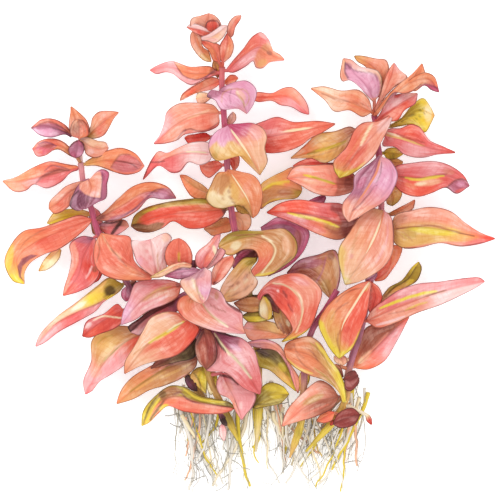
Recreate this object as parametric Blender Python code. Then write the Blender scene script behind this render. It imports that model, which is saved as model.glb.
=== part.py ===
"""Rotala, a red water plant with five leafy shoots and a tangle of fine roots.

The plant lies on a flat surface, as it comes out of the water. +Z is up and the shoots point along
+Y. The origin is on the surface, under the middle of the plant.

Places on the plant are counted on a drawing grid, with x to the right and y down the sheet. One
step of it is GRID metres. Heights above the surface are in millimetres.
"""

import math

import bpy
import numpy as np

PLANT_WIDTH = 0.168
STEPS_ACROSS = 493.0
GRID = PLANT_WIDTH / STEPS_ACROSS
GRID_MIDDLE = (248.4, 255.0)
MM = 0.001

BLADE_THICKNESS = 0.8 * MM
BASE_HALF_WIDTH = 2.4 * GRID
TIP_HALF_WIDTH = 1.0 * GRID
BLADE_ROWS = 8
BLADE_COLUMNS = (-1.0, -0.5, 0.0, 0.5, 1.0)
CURVE_SAMPLES = 12

STEM_RADIUS = 1.3 * MM
STEM_TIP_SHARE = 0.75
STEM_POINTS = 12

FINISHES = {
    "coral_leaf": ((0.95, 0.24, 0.11), 0.5),
    "rose_leaf": ((0.93, 0.14, 0.15), 0.5),
    "peach_leaf": ((0.98, 0.42, 0.27), 0.5),
    "olive_leaf": ((0.45, 0.27, 0.02), 0.5),
    "mauve_leaf": ((0.48, 0.12, 0.22), 0.5),
    "stem_skin": ((0.46, 0.05, 0.15), 0.45),
    "root_fibre": ((0.90, 0.84, 0.72), 0.7),
}

# Each stem: the middle of the stem from its top to its foot, as grid x, grid y, height.
STEMS = {
    "left_stem": (
        (81, 163, 10.3), (84, 185, 10.8), (91, 207, 11.0), (99, 234, 10.4),
        (114, 262, 9.0), (130, 287, 8.0), (163, 343, 6.8), (193, 384, 6.6), (212, 412, 5.4),
    ),
    "front_stem": (
        (188, 289, 28.0), (192, 305, 25.0), (197, 326, 20.6), (204, 356, 14.2),
        (212, 384, 10.2), (226, 414, 6.6), (238, 441, 4.0),
    ),
    "centre_stem": (
        (222, 67, 10.4), (222, 87, 10.6), (224, 116, 11.0), (227, 163, 11.8),
        (232, 214, 12.0), (240, 255, 11.0), (250, 300, 9.8), (257, 352, 8.4),
        (259, 404, 6.2), (256, 452, 3.6),
    ),
    "inner_stem": (
        (337, 290, 13.0), (326, 308, 12.6), (313, 328, 12.0), (305, 354, 11.0),
        (304, 384, 9.6), (302, 418, 7.2), (290, 458, 3.4),
    ),
    "right_stem": (
        (374, 115, 11.4), (376, 130, 11.6), (379, 160, 12.0), (381, 208, 12.0),
        (371, 276, 11.6), (362, 324, 11.0), (349, 369, 9.8), (346, 398, 8.2),
        (336, 418, 6.6), (306, 452, 3.4),
    ),
}

# Each leaf: its finish, the middle vein from base to tip as grid x, grid y, height, the margins on
# the left and right hand of the vein as grid x, grid y, and how far each margin stands above the
# vein in millimetres.
LEAVES = {
    "left_leaf_1": dict(
        finish="coral_leaf",
        vein=((78, 168, 10.6), (50, 175, 11.5), (22, 181, 7), (2, 181, 0.36)),
        left=((71, 173), (62, 182), (47, 188.5), (34, 184.5), (26, 190.5), (14, 191.5)),
        right=((66, 164), (50, 161.5), (34, 167), (15, 177)),
        lift=(1.2, -1),
    ),
    "left_leaf_2": dict(
        finish="coral_leaf",
        vein=((86, 164, 10.8), (105, 161, 12.5), (128, 163, 11), (144, 166, 7)),
        left=((97, 155), (110, 150), (122, 148), (136, 154)),
        right=((96, 166), (106, 169), (115, 172.5), (127, 175), (139, 172)),
        lift=(-1, 1.2),
    ),
    "left_leaf_3": dict(
        finish="coral_leaf",
        vein=((88, 183, 12.2), (71, 192, 14.2), (58, 203, 13), (49.5, 209, 12)),
        left=((82, 196), (73, 204), (63, 211.5), (55, 214)),
        right=((78, 182), (67, 186), (58, 193.5), (50, 202)),
        lift=(-0.6, -0.6),
    ),
    "left_leaf_4": dict(
        finish="peach_leaf",
        vein=((89, 180, 13.2), (92, 188, 16), (89, 198, 17.4), (86, 209, 15.4)),
        left=((97, 172), (104, 169.5), (109.5, 173), (108, 184), (107, 198), (98, 203)),
        right=((80, 184), (75, 192), (70.5, 206), (78, 211)),
        lift=(0.3, 0.3),
    ),
    "left_leaf_5": dict(
        finish="coral_leaf",
        vein=((91, 220, 11.2), (62, 231, 12.5), (36, 242, 11.2), (17, 259, 6), (23, 284, 0.4)),
        left=((84, 231), (60, 249), (44, 254.5), (30, 263), (24, 273)),
        right=((80, 215), (62, 220.5), (42, 227.5), (24, 231), (12, 243), (4, 262), (12, 281)),
        lift=(-0.6, -0.6),
    ),
    "left_leaf_6": dict(
        finish="coral_leaf",
        vein=((98, 219, 11.6), (122, 206, 13.4), (148, 192, 13.2), (176, 198, 9.5)),
        left=((106, 210.5), (118, 199), (134, 186), (152, 182), (168, 187)),
        right=((110, 221.5), (124, 218.5), (138, 210.5), (150, 198.5), (162, 199.5)),
        lift=(-0.8, 0.8),
    ),
    "left_leaf_7": dict(
        finish="rose_leaf",
        vein=((94, 238, 11.9), (84, 256, 11.3), (78, 276, 9), (63, 295.5, 4.5)),
        left=((97, 249), (96, 262), (100, 272), (93, 284), (78, 292)),
        right=((82, 236), (70, 244), (71.5, 258), (69, 272), (64, 287)),
        lift=(-0.8, 0.6),
    ),
    "front_leaf_1": dict(
        finish="coral_leaf",
        vein=((153, 278, 30.2), (136, 268, 29.6), (117, 254, 26), (102, 233.5, 19)),
        left=((137, 280.5), (116, 279), (101, 272), (95, 260), (96, 243)),
        right=((146, 270.5), (136, 261), (133.5, 248), (131, 237), (115, 235)),
        lift=(-1.2, -1),
    ),
    "front_leaf_2": dict(
        finish="rose_leaf",
        vein=((181, 285, 27.2), (160, 290, 27), (142, 301, 25), (122, 324, 18.5)),
        left=((179, 296), (168, 303), (150, 310), (136, 319.5)),
        right=((170, 279.5), (150, 279.5), (137, 282), (130, 298), (124, 311)),
        lift=(-0.8, -0.8),
    ),
    "front_leaf_3": dict(
        finish="rose_leaf",
        vein=((199, 292, 29.4), (207, 309, 31), (221, 320.5, 29.6), (245, 332.5, 27)),
        left=((211, 287), (221, 291), (228, 302), (242, 311.5), (243, 323)),
        right=((181, 297), (177.5, 306), (184, 317), (201, 325.5), (222, 331.5)),
        lift=(-0.8, -0.8),
    ),
    "front_leaf_4": dict(
        finish="coral_leaf",
        vein=((190, 319, 24.4), (170, 330, 25.5), (149, 343.5, 23.5), (125, 373, 14)),
        left=((200, 328), (191, 343), (178, 354), (160, 359.5), (142, 365)),
        right=((182, 313), (168, 311), (152, 317), (144, 330), (135, 346), (125.5, 361)),
        lift=(-1, -1),
    ),
    "front_leaf_5": dict(
        finish="peach_leaf",
        vein=((146, 333, 9.2), (124, 343, 11), (105, 362, 9), (85, 394.5, 2.4)),
        left=((138, 346), (128, 362), (112, 374), (99, 382), (92, 391)),
        right=((128, 326), (108, 327), (92, 340), (91, 361), (83, 381)),
        lift=(-0.6, -1.2),
    ),
    "front_leaf_6": dict(
        finish="olive_leaf",
        vein=(
            (122.5, 284.5, 7.2), (104, 300.5, 8.4), (80, 310.5, 7), (58, 321.5, 4),
            (35, 346.5, 0.4),
        ),
        left=((118, 293), (104, 302), (96, 311), (78, 321.5), (58, 332.5), (44, 343)),
        right=((109, 277.5), (97, 286), (76, 302.5), (55, 318), (39, 335)),
        lift=(-0.4, -0.4),
    ),
    "front_leaf_7": dict(
        finish="peach_leaf",
        vein=((197, 358, 13.2), (165, 369, 11.8), (141, 384, 8.5), (116.5, 404, 1.6)),
        left=((196, 367), (182, 378), (165, 385.5), (150, 390), (134, 399)),
        right=((184, 352), (165, 359), (150, 366), (131, 378), (120.5, 391)),
        lift=(-0.6, -0.6),
    ),
    "front_leaf_8": dict(
        finish="rose_leaf",
        vein=((213, 330, 21.4), (228, 350, 23.4), (246, 371, 21.5), (260, 393.5, 16)),
        left=((230, 334), (243, 338), (254, 349), (258.5, 364), (262, 381)),
        right=((213, 341), (217, 354), (206, 369), (226, 372), (244, 388)),
        lift=(-1, -1),
    ),
    "front_leaf_9": dict(
        finish="rose_leaf",
        vein=((222, 373, 13.2), (231, 391, 13.4), (242, 419.5, 10.4)),
        left=((234, 375), (245, 386), (256, 394), (253, 406), (247, 413)),
        right=((216.5, 382), (219, 393), (230, 399), (236, 412)),
        lift=(-0.8, 0.2),
    ),
    "front_leaf_10": dict(
        finish="coral_leaf",
        vein=(
            (233, 408, 9.6), (205, 402.5, 12.2), (178, 396, 12.2), (160, 402, 9),
            (141.5, 426, 1.2),
        ),
        left=((222, 413.5), (200, 413.5), (183, 411), (168, 406), (158, 414), (149, 423)),
        right=(
            (230, 402), (215, 398.5), (200, 395), (184, 386.5), (170, 385.5), (154, 397),
            (143, 411),
        ),
        lift=(-0.4, 0.4),
    ),
    "centre_leaf_1": dict(
        finish="coral_leaf",
        vein=((217, 73, 10.8), (192, 74, 11.6), (170, 67, 7), (150, 69.5, 0.4)),
        left=((205, 79.5), (192, 85.5), (182, 81), (174, 74.5), (166, 72), (156, 73.5)),
        right=((210, 66.5), (190, 67), (172, 61), (158, 64.5)),
        lift=(0.8, -0.6),
    ),
    "centre_leaf_2": dict(
        finish="rose_leaf",
        vein=((228, 71, 11), (243, 57, 13.4), (259, 48, 13.6), (271, 55, 8), (284, 59, 0.4)),
        left=((232, 62), (243, 49.5), (253, 36.5), (261, 32.5), (269, 40), (273, 50), (280, 54)),
        right=((234, 73), (246, 67), (253, 62), (256, 68), (262, 68.5), (270, 62), (278, 60.5)),
        lift=(-0.6, -0.6),
    ),
    "centre_leaf_3": dict(
        finish="mauve_leaf",
        vein=((219, 93, 13.4), (230, 94, 17), (240, 99, 19), (247, 114, 15.4)),
        left=((223, 87.5), (238, 82), (248, 82), (256.5, 91), (254, 104)),
        right=((212, 90.5), (207, 97), (215, 101), (221, 110), (238, 109.5)),
        lift=(-1.4, -1.4),
    ),
    "centre_leaf_4": dict(
        finish="coral_leaf",
        vein=((218.8, 113, 10.9), (197, 115, 12.6), (176, 125, 10.4), (154, 143.5, 4.4)),
        left=((219, 125), (208, 131.5), (195, 133), (184, 135), (178, 140), (165, 143.5)),
        right=((213, 105), (195, 103), (178, 104), (167, 112), (164, 124), (159, 136)),
        lift=(-0.6, -0.6),
    ),
    "centre_leaf_5": dict(
        finish="peach_leaf",
        vein=((213, 153, 11.2), (190, 152.5, 12.4), (166, 158.5, 9.5), (143, 179, 3.2)),
        left=(
            (209, 162), (200, 165.5), (189, 162.5), (180, 172), (172, 173), (158, 165), (150, 172),
        ),
        right=(
            (209, 143), (192, 142.5), (176, 149), (167, 153), (159, 151), (153, 157), (147, 168),
        ),
        lift=(-0.4, -0.6),
    ),
    "centre_leaf_6": dict(
        finish="mauve_leaf",
        vein=((228, 126, 14.2), (239, 141, 18.5), (249, 156, 19.2), (260, 175, 15.5)),
        left=((240, 124), (252, 123.5), (262, 128), (267, 137), (265, 148), (267.5, 162)),
        right=(
            (218, 130.5), (210, 140), (209, 151), (215, 160.5), (224, 160.5), (236, 154.5),
            (247, 163.5),
        ),
        lift=(-1.2, -1.2),
    ),
    "centre_leaf_7": dict(
        finish="peach_leaf",
        vein=((229, 171, 14.3), (239, 185, 18), (248, 200, 17.6), (253, 218, 13.8)),
        left=((241, 172), (254, 176), (261.5, 187), (262, 203), (258, 214)),
        right=(
            (218, 173), (210.5, 186), (206, 199), (214, 207.5), (224, 208), (236, 204), (246, 210),
        ),
        lift=(-1, -1),
    ),
    "centre_leaf_8": dict(
        finish="rose_leaf",
        vein=((226, 209.5, 12), (195, 212, 13.2), (163, 216, 11.2), (131, 226, 5)),
        left=(
            (222, 218), (206, 227.5), (188, 228.5), (173, 221.5), (163, 228), (150, 232.5),
            (137, 231),
        ),
        right=((218, 203), (203, 198.5), (180, 200), (160, 203.5), (144, 208.5), (134, 216)),
        lift=(-0.6, 0.2),
    ),
    "centre_leaf_9": dict(
        finish="rose_leaf",
        vein=((233, 135, 10.9), (265, 137, 11.4), (300, 131, 12), (335, 124, 8)),
        left=((250, 126), (264, 121), (277, 117), (293, 122), (318, 121)),
        right=((250, 146), (265, 153), (285, 152), (301, 146), (310, 139), (322, 133)),
        lift=(-0.5, -0.5),
    ),
    "centre_leaf_10": dict(
        finish="olive_leaf",
        vein=(
            (219.5, 247, 13), (236, 240, 15.4), (256, 237.5, 17.4), (273, 247, 18),
            (270, 262, 17.4), (254, 276, 15.6),
        ),
        left=(
            (222, 239), (230, 233), (242, 230.5), (258, 231), (272, 229.5), (285, 229), (296, 240),
            (296.5, 254), (284, 266), (268, 275.5),
        ),
        right=((222, 252.5), (232, 255.5), (244, 249.5), (255, 251), (258, 260), (251, 271)),
        lift=(-0.8, 0.5),
    ),
    "inner_leaf_1": dict(
        finish="rose_leaf",
        vein=(
            (258, 303, 11.4), (262, 291, 12.8), (275, 284, 14.6), (290, 288, 17), (301, 303, 18),
            (299, 322, 17.5), (282, 341.5, 14.2),
        ),
        left=(
            (257, 296), (263, 287), (274, 278), (292, 273), (306, 275), (321.5, 290), (318, 307),
            (310, 327), (297, 337),
        ),
        right=((263, 296), (268, 294), (276, 305), (286, 317), (292, 330), (286, 337)),
        lift=(-1, 0.3),
    ),
    "inner_leaf_2": dict(
        finish="mauve_leaf",
        vein=((331, 297, 10.2), (323, 280, 9.9), (308, 268, 9.4), (287, 273, 8)),
        left=((322, 291), (312, 279), (301, 273.5)),
        right=((338, 288), (340.5, 270), (335, 250), (318, 254.5), (299, 260)),
        lift=(-0.4, -0.4),
    ),
    "inner_leaf_3": dict(
        finish="coral_leaf",
        vein=((369, 282, 14.2), (355, 303, 18), (342, 326, 18.2), (339, 358, 14)),
        left=((369, 298), (366, 314), (360, 330), (352, 348), (345, 354)),
        right=((357, 284), (338, 295), (324, 309), (318, 323), (325, 341), (333, 353)),
        lift=(-0.8, -0.8),
    ),
    "right_leaf_1": dict(
        finish="rose_leaf",
        vein=((385, 135, 12.6), (404, 140, 14.2), (428, 148, 12), (455, 152.5, 8)),
        left=((389, 129), (400, 128.5), (410, 124.5), (419, 127), (429, 140), (443, 146.5)),
        right=((382, 146), (394, 147.5), (404, 155), (420, 158), (438, 154.5)),
        lift=(-0.6, -0.6),
    ),
    "right_leaf_2": dict(
        finish="coral_leaf",
        vein=((390, 117.5, 14.8), (374, 135, 18.5), (355, 156, 18.6), (339, 178, 14.2)),
        left=((389, 127), (381, 142), (373, 157), (361, 168), (350, 175)),
        right=((378, 121.5), (362, 123.5), (354, 130), (346, 147), (333, 162), (334, 171)),
        lift=(-1, -1),
    ),
    "right_leaf_3": dict(
        finish="peach_leaf",
        vein=((357, 131, 10.4), (338, 144, 8.4), (318, 151, 7), (291, 158, 4.5)),
        left=((351, 144), (340, 155), (325, 163), (308, 158.5)),
        right=((350, 126.5), (335, 131), (317, 134), (305, 145)),
        lift=(-0.4, -0.4),
    ),
    "right_leaf_4": dict(
        finish="coral_leaf",
        vein=((357, 184, 11.2), (335, 184, 12.4), (312, 178, 12.2), (287, 178, 8)),
        left=((351, 192.5), (334, 196.5), (316, 194), (301, 186)),
        right=((352, 172), (334, 165), (314, 165), (294, 167)),
        lift=(-0.4, -0.6),
    ),
    "right_leaf_5": dict(
        finish="mauve_leaf",
        vein=((380, 157, 14.8), (375, 174, 18.5), (364, 192, 21), (352, 210, 21), (348, 222, 20)),
        left=((389, 160), (397, 174), (394, 187), (385, 201), (369, 211), (357, 218)),
        right=((370, 163), (354, 176), (352, 190), (342, 204), (342, 214)),
        lift=(-1.2, -0.8),
    ),
    "right_leaf_6": dict(
        finish="rose_leaf",
        vein=((391, 176, 12.8), (418, 178, 14.6), (446, 176, 14), (469, 186, 9.5)),
        left=((395, 166.5), (412, 163), (434, 161.5), (448, 165), (463, 175)),
        right=((397, 189), (405, 194.5), (418, 197), (432, 193), (445, 188), (456, 194)),
        lift=(-0.5, 0.6),
    ),
    "right_leaf_7": dict(
        finish="rose_leaf",
        vein=((359, 221, 11.2), (335, 222, 12.6), (305, 214.5, 12.2), (267, 212.5, 7)),
        left=((351, 234), (338, 240), (318, 234.5), (300, 226), (282, 218.5)),
        right=((352, 212), (342, 204), (320, 202.5), (298, 199.5), (280, 203)),
        lift=(-0.5, -0.5),
    ),
    "right_leaf_8": dict(
        finish="peach_leaf",
        vein=((383, 211, 14.6), (376, 232, 17.4), (364, 256, 18), (345, 284.5, 14)),
        left=((391, 218), (393.5, 236), (391, 255), (384, 266), (372, 275), (358, 282)),
        right=((373, 208.5), (360, 216), (349, 232), (339, 247), (338, 260), (341, 273)),
        lift=(-1, -1),
    ),
    "right_leaf_9": dict(
        finish="peach_leaf",
        vein=((391, 229, 12.8), (425, 228, 14.2), (460, 233.5, 9), (495.5, 238.5, 0.38)),
        left=((395, 215), (410, 210.5), (430, 207), (450, 211), (465, 222.5), (482, 233)),
        right=((394, 243), (404, 248.5), (420, 247.5), (440, 243), (460, 246.5), (480, 244)),
        lift=(-0.5, -0.5),
    ),
    "right_leaf_10": dict(
        finish="rose_leaf",
        vein=((367, 321, 12.8), (400, 306, 14.6), (440, 292, 11), (485, 281.5, 3)),
        left=(
            (371, 310), (382, 301), (398, 290), (416, 284), (440, 281.5), (466, 278), (480, 277.5),
        ),
        right=((378, 328), (396, 322.5), (415, 313.5), (440, 305), (460, 296), (476, 288)),
        lift=(-0.5, -0.5),
    ),
    "right_leaf_11": dict(
        finish="peach_leaf",
        vein=((355, 367, 7.4), (374, 350, 7.4), (391, 333, 7.6), (409, 317, 5)),
        left=((354, 355), (360, 338), (367, 327), (390, 321)),
        right=((368, 369.5), (384, 361.5), (396, 343), (404, 328)),
        lift=(-0.5, -0.5),
    ),
    "low_leaf_1": dict(
        finish="peach_leaf",
        vein=((344.2, 401, 11.2), (333, 378, 14), (312, 356, 15), (284, 349, 12)),
        left=((338, 391), (324, 380), (309, 375), (295, 367.5), (286, 358.5)),
        right=(
            (345, 387), (339, 371), (329, 357), (320, 342.5), (309, 336), (295, 338.5), (286, 343),
        ),
        lift=(-0.2, -0.6),
    ),
    "low_leaf_2": dict(
        finish="peach_leaf",
        vein=((338, 396.5, 10.2), (312, 403, 12), (282, 426, 8.6)),
        left=((332, 408), (314, 417), (296, 422)),
        right=((331, 385.5), (319.5, 380), (303, 392), (287, 410)),
        lift=(-0.3, -0.3),
    ),
}

# Each bunch of small leaves: its finish, the rim through the leaf tips and the hollows between
# them, and its highest and lowest point, all as grid x, grid y, height.
BUNCHES = {
    "left_tip": dict(
        finish="coral_leaf",
        rim=(
            (32, 127, 9), (52, 118, 11), (61, 113, 12), (71, 107, 12), (92, 119, 12), (118, 112, 9),
            (104, 133, 10), (108, 149, 10), (91, 154, 12), (82, 158, 13), (62, 158, 10),
            (33, 150, 8), (43, 139, 9),
        ),
        top=(78, 138, 18),
        bottom=(78, 138, 7),
    ),
    "front_tip": dict(
        finish="rose_leaf",
        rim=(
            (133, 241, 31), (152, 240, 33), (168, 233, 34), (182, 238, 35), (199, 249, 35),
            (219, 233, 33), (234, 257, 33), (228, 272, 33), (214, 285, 33), (205, 303, 34),
            (190, 297, 34), (180, 284, 33), (160, 277, 33.5), (147, 262, 33),
        ),
        top=(186, 268, 40),
        bottom=(188, 266, 30.5),
    ),
    "centre_tip": dict(
        finish="coral_leaf",
        rim=(
            (186, 28, 11), (192, 18, 12), (206, 13, 12), (219, 22, 13), (241, 15, 10),
            (235, 38, 11), (233, 57, 11.5), (222, 64, 12), (209, 62, 11), (193, 50, 10),
        ),
        top=(213, 40, 19),
        bottom=(213, 40, 7),
    ),
    "right_tip": dict(
        finish="coral_leaf",
        rim=(
            (311, 88, 9), (340, 87, 11), (340, 66, 11), (346, 56, 12), (370, 62, 12), (393, 62, 11),
            (404, 76, 11), (419, 63, 10), (440, 90, 9), (417, 97, 11), (384, 110, 12.5),
            (369, 116, 13.2), (333, 111, 10), (324, 98, 10),
        ),
        top=(376, 88, 20),
        bottom=(376, 88, 8),
    ),
    "left_small_leaves": dict(
        finish="olive_leaf",
        rim=(
            (47, 223, 7), (87, 214, 8), (128, 228, 8), (120, 240, 7.5), (99, 283, 6),
            (86, 284, 6), (39, 269, 4.5),
        ),
        top=(82, 244, 8.8),
        bottom=(82, 244, 4),
    ),
    "front_small_leaves": dict(
        finish="mauve_leaf",
        rim=(
            (82, 334, 13), (104, 313, 13.5), (124, 303, 14), (160, 302, 14.5), (187, 293, 14.5),
            (195, 315, 14), (212, 333, 13), (214, 352, 11.6), (204, 368, 9.8), (188, 350, 11.2),
            (150, 336, 12.6), (122, 328, 13.2), (101, 331, 13.2),
        ),
        top=(152, 318, 16),
        bottom=(152, 318, 11.6),
    ),
    "centre_small_leaves": dict(
        finish="olive_leaf",
        rim=(
            (223, 77, 7.5), (239, 78, 7), (246, 97, 7), (308, 114, 5), (262, 124, 6), (245, 160, 7),
            (245, 200, 7.5), (252, 234, 7), (230, 228, 7), (204, 236, 6), (208, 205, 6.5),
            (181, 175, 5), (202, 160, 6.5), (184, 143, 5), (207, 125, 6.5), (179, 100, 5),
            (209, 93, 7),
        ),
        top=(226, 148, 9),
        bottom=(226, 148, 4),
    ),
    "inner_small_leaves": dict(
        finish="olive_leaf",
        rim=(
            (262, 220, 7), (290, 219, 6.5), (310, 250, 6), (300, 276, 7), (292, 310, 7),
            (300, 350, 6), (300, 380, 5), (289, 408, 3.6), (255, 408, 3.4), (245, 380, 4.6),
            (243, 345, 5.6), (225, 320, 6), (213, 290, 6), (216, 262, 6.6), (240, 256, 7.5),
        ),
        top=(264, 306, 8.2),
        bottom=(264, 306, 4),
    ),
    "right_small_leaves": dict(
        finish="olive_leaf",
        rim=(
            (425, 100, 7), (436, 116, 7), (425, 133, 7), (402, 148, 7.5), (403, 166, 7.5),
            (401, 196, 7.5), (415, 203, 7), (398, 222, 7), (398, 244, 7), (420, 261, 6.5),
            (404, 282, 6.5), (384, 313, 6.5), (366, 300, 7), (345, 250, 6), (318, 212, 5),
            (263, 208, 4), (261, 178, 4), (302, 165, 5), (345, 160, 6), (368, 126, 7),
            (395, 112, 7),
        ),
        top=(374, 204, 9),
        bottom=(374, 204, 3),
    ),
    "low_small_leaves": dict(
        finish="mauve_leaf",
        rim=(
            (351, 369, 13), (359, 384, 12.4), (357, 400, 11.4), (372, 418, 9.6), (362, 428, 9.2),
            (338, 430, 9.0), (318, 421, 9.0), (333, 411, 9.6), (345, 407, 10.6), (350, 388, 12.6),
        ),
        top=(352, 406, 12.6),
        bottom=(352, 406, 10.4),
    ),
    "left_roots": dict(
        finish="root_fibre",
        rim=(
            (165, 446, 0), (176, 412, 0), (200, 402, 0), (232, 402, 0), (257, 412, 0),
            (257, 470, 0), (246, 495, 0), (226, 489, 0), (196, 497, 0), (170, 478, 0),
        ),
        top=(218, 444, 1.8),
        bottom=(218, 444, 0),
    ),
    "right_roots": dict(
        finish="root_fibre",
        rim=(
            (260, 412, 0), (300, 400, 0), (342, 392, 0), (366, 400, 0), (372, 440, 0),
            (356, 478, 0), (324, 494, 0), (308, 489, 0), (272, 490, 0), (260, 470, 0),
        ),
        top=(312, 442, 1.6),
        bottom=(312, 442, 0),
    ),
}


def clear_scene():
    """Removes every object that is already in the scene."""
    for obj in list(bpy.data.objects):
        bpy.data.objects.remove(obj, do_unlink=True)


def make_finish(name):
    """Makes the material of one finish."""
    colour, roughness = FINISHES[name]
    material = bpy.data.materials.new(name)
    material.use_nodes = True
    shader = material.node_tree.nodes["Principled BSDF"]
    shader.inputs["Base Color"].default_value = (*colour, 1.0)
    shader.inputs["Roughness"].default_value = roughness
    shader.inputs["Metallic"].default_value = 0.0
    return material


def place(x, y, height=0.0):
    """The point in metres at a grid place and a height in millimetres."""
    return ((x - GRID_MIDDLE[0]) * GRID, (GRID_MIDDLE[1] - y) * GRID, height * MM)


def bend_point(before, start, end, after, share):
    """A point between start and end, on a smooth curve that also passes before and after."""
    knots = [0.0]
    for a, b in ((before, start), (start, end), (end, after)):
        knots.append(knots[-1] + math.sqrt(np.linalg.norm(b - a)))
    at = knots[1] + share * (knots[2] - knots[1])

    def mix(a, b, low, high):
        return a + (b - a) * (at - low) / (high - low)

    first = mix(before, start, knots[0], knots[1])
    middle = mix(start, end, knots[1], knots[2])
    last = mix(end, after, knots[2], knots[3])
    near = mix(first, middle, knots[0], knots[2])
    far = mix(middle, last, knots[1], knots[3])
    return mix(near, far, knots[1], knots[2])


def through(points, count):
    """Evenly spaced points on a smooth curve through the given ones."""
    points = np.array(points, float)
    points = np.vstack([2 * points[0] - points[1], points, 2 * points[-1] - points[-2]])
    dense = [points[1]]
    for before, start, end, after in zip(points, points[1:], points[2:], points[3:]):
        for step in range(CURVE_SAMPLES):
            dense.append(bend_point(before, start, end, after, (step + 1) / CURVE_SAMPLES))
    dense = np.array(dense)
    along = np.concatenate([[0.0], np.cumsum(np.linalg.norm(np.diff(dense, axis=0), axis=1))])
    wanted = np.linspace(0.0, along[-1], count)
    return np.column_stack([np.interp(wanted, along, values) for values in dense.T])


def margin(vein, places, side):
    """One margin of a blade in plan: from beside the base, through its places, to beside the tip."""
    out = vein[1, :2] - vein[0, :2]
    at_base = side * np.array((-out[1], out[0])) / np.linalg.norm(out)
    out = vein[-1, :2] - vein[-2, :2]
    at_tip = side * np.array((-out[1], out[0])) / np.linalg.norm(out)
    start = vein[0, :2] + BASE_HALF_WIDTH * at_base
    end = vein[-1, :2] + TIP_HALF_WIDTH * at_tip
    middle = [place(*spot)[:2] for spot in places]
    return through([start, *middle, end], BLADE_ROWS)


def blade_surface(leaf):
    """The middle surface of a blade, as rows from base to tip of points from left to right."""
    vein = through([place(*spot) for spot in leaf["vein"]], BLADE_ROWS)
    sides = {-1: margin(vein, leaf["left"], 1), 1: margin(vein, leaf["right"], -1)}
    lifts = dict(zip((-1, 1), leaf["lift"]))
    rows = np.empty((BLADE_ROWS, len(BLADE_COLUMNS), 3))
    for i in range(BLADE_ROWS):
        fullness = math.sin(math.pi * i / (BLADE_ROWS - 1))
        for j, column in enumerate(BLADE_COLUMNS):
            side = -1 if column < 0 else 1
            share = abs(column)
            rows[i, j, :2] = vein[i, :2] + share * (sides[side][i] - vein[i, :2])
            rows[i, j, 2] = vein[i, 2] + lifts[side] * MM * share**2 * fullness
    return rows


def closed_sheet(name, rows, thickness):
    """A closed mesh of even thickness around a surface given as rows of points."""
    along = np.gradient(rows, axis=0)
    across = np.gradient(rows, axis=1)
    out = np.cross(across, along)
    out /= np.linalg.norm(out, axis=2, keepdims=True)
    count, width = rows.shape[:2]
    top = (rows + out * thickness / 2).reshape(-1, 3)
    under = (rows - out * thickness / 2).reshape(-1, 3)
    below = count * width
    faces = []
    for i in range(count - 1):
        for j in range(width - 1):
            a = i * width + j
            faces.append((a, a + 1, a + 1 + width, a + width))
            faces.append((a + below, a + width + below, a + 1 + width + below, a + 1 + below))
    rim = [i * width for i in range(count)]
    rim += [(count - 1) * width + j for j in range(1, width)]
    rim += [i * width + width - 1 for i in reversed(range(count - 1))]
    rim += list(reversed(range(1, width - 1)))
    for a, b in zip(rim, rim[1:] + rim[:1]):
        faces.append((a, b, b + below, a + below))
    mesh = bpy.data.meshes.new(name)
    mesh.from_pydata([tuple(point) for point in np.vstack([top, under])], [], faces)
    mesh.validate()
    mesh.shade_smooth()
    return mesh


def add_object(name, data, finish):
    """Puts mesh or curve data in the scene as an object of the given finish."""
    obj = bpy.data.objects.new(name, data)
    data.materials.append(finish)
    bpy.context.scene.collection.objects.link(obj)
    return obj


def make_stem(name, route, finish):
    """A stem that is thinner at its top, as a round tube with closed ends."""
    curve = bpy.data.curves.new(name, "CURVE")
    curve.dimensions = "3D"
    curve.bevel_depth = STEM_RADIUS
    curve.bevel_resolution = 2
    curve.use_fill_caps = True
    points = through([place(*spot) for spot in route], STEM_POINTS)
    spline = curve.splines.new("POLY")
    spline.points.add(STEM_POINTS - 1)
    for i, point in enumerate(points):
        spline.points[i].co = (*point, 1.0)
        share = i / (STEM_POINTS - 1)
        spline.points[i].radius = STEM_TIP_SHARE + (1.0 - STEM_TIP_SHARE) * share
    return add_object(name, curve, finish)


def make_bunch(name, bunch, finish):
    """The closed outer shape of a bunch of small leaves or roots, reaching their tips."""
    points = [place(*spot) for spot in (*bunch["rim"], bunch["top"], bunch["bottom"])]
    count = len(bunch["rim"])
    top, bottom = count, count + 1
    faces = []
    for i in range(count):
        after = (i + 1) % count
        faces.append((after, i, top))
        faces.append((i, after, bottom))
    mesh = bpy.data.meshes.new(name)
    mesh.from_pydata(points, [], faces)
    mesh.validate()
    return add_object(name, mesh, finish)


def main():
    """Builds the stems, the leaves, and the bunches of small leaves and roots."""
    clear_scene()
    finishes = {name: make_finish(name) for name in FINISHES}
    for name, route in STEMS.items():
        make_stem(name, route, finishes["stem_skin"])
    for name, leaf in LEAVES.items():
        mesh = closed_sheet(name, blade_surface(leaf), BLADE_THICKNESS)
        add_object(name, mesh, finishes[leaf["finish"]])
    for name, bunch in BUNCHES.items():
        make_bunch(name, bunch, finishes[bunch["finish"]])


main()
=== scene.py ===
"""Rotala, a red water plant with five leafy shoots and a tangle of fine roots, laid flat on a pale floor.

Places on the plant are counted on a drawing grid, with x to the right and y down the sheet, and one
step is GRID metres. Heights above the floor are in millimetres. A leaf is drawn from its base to its
tip, with its margins on the left and right hand of somebody who walks that way.
"""

import logging
import math
from dataclasses import dataclass, field
from enum import Enum

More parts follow.
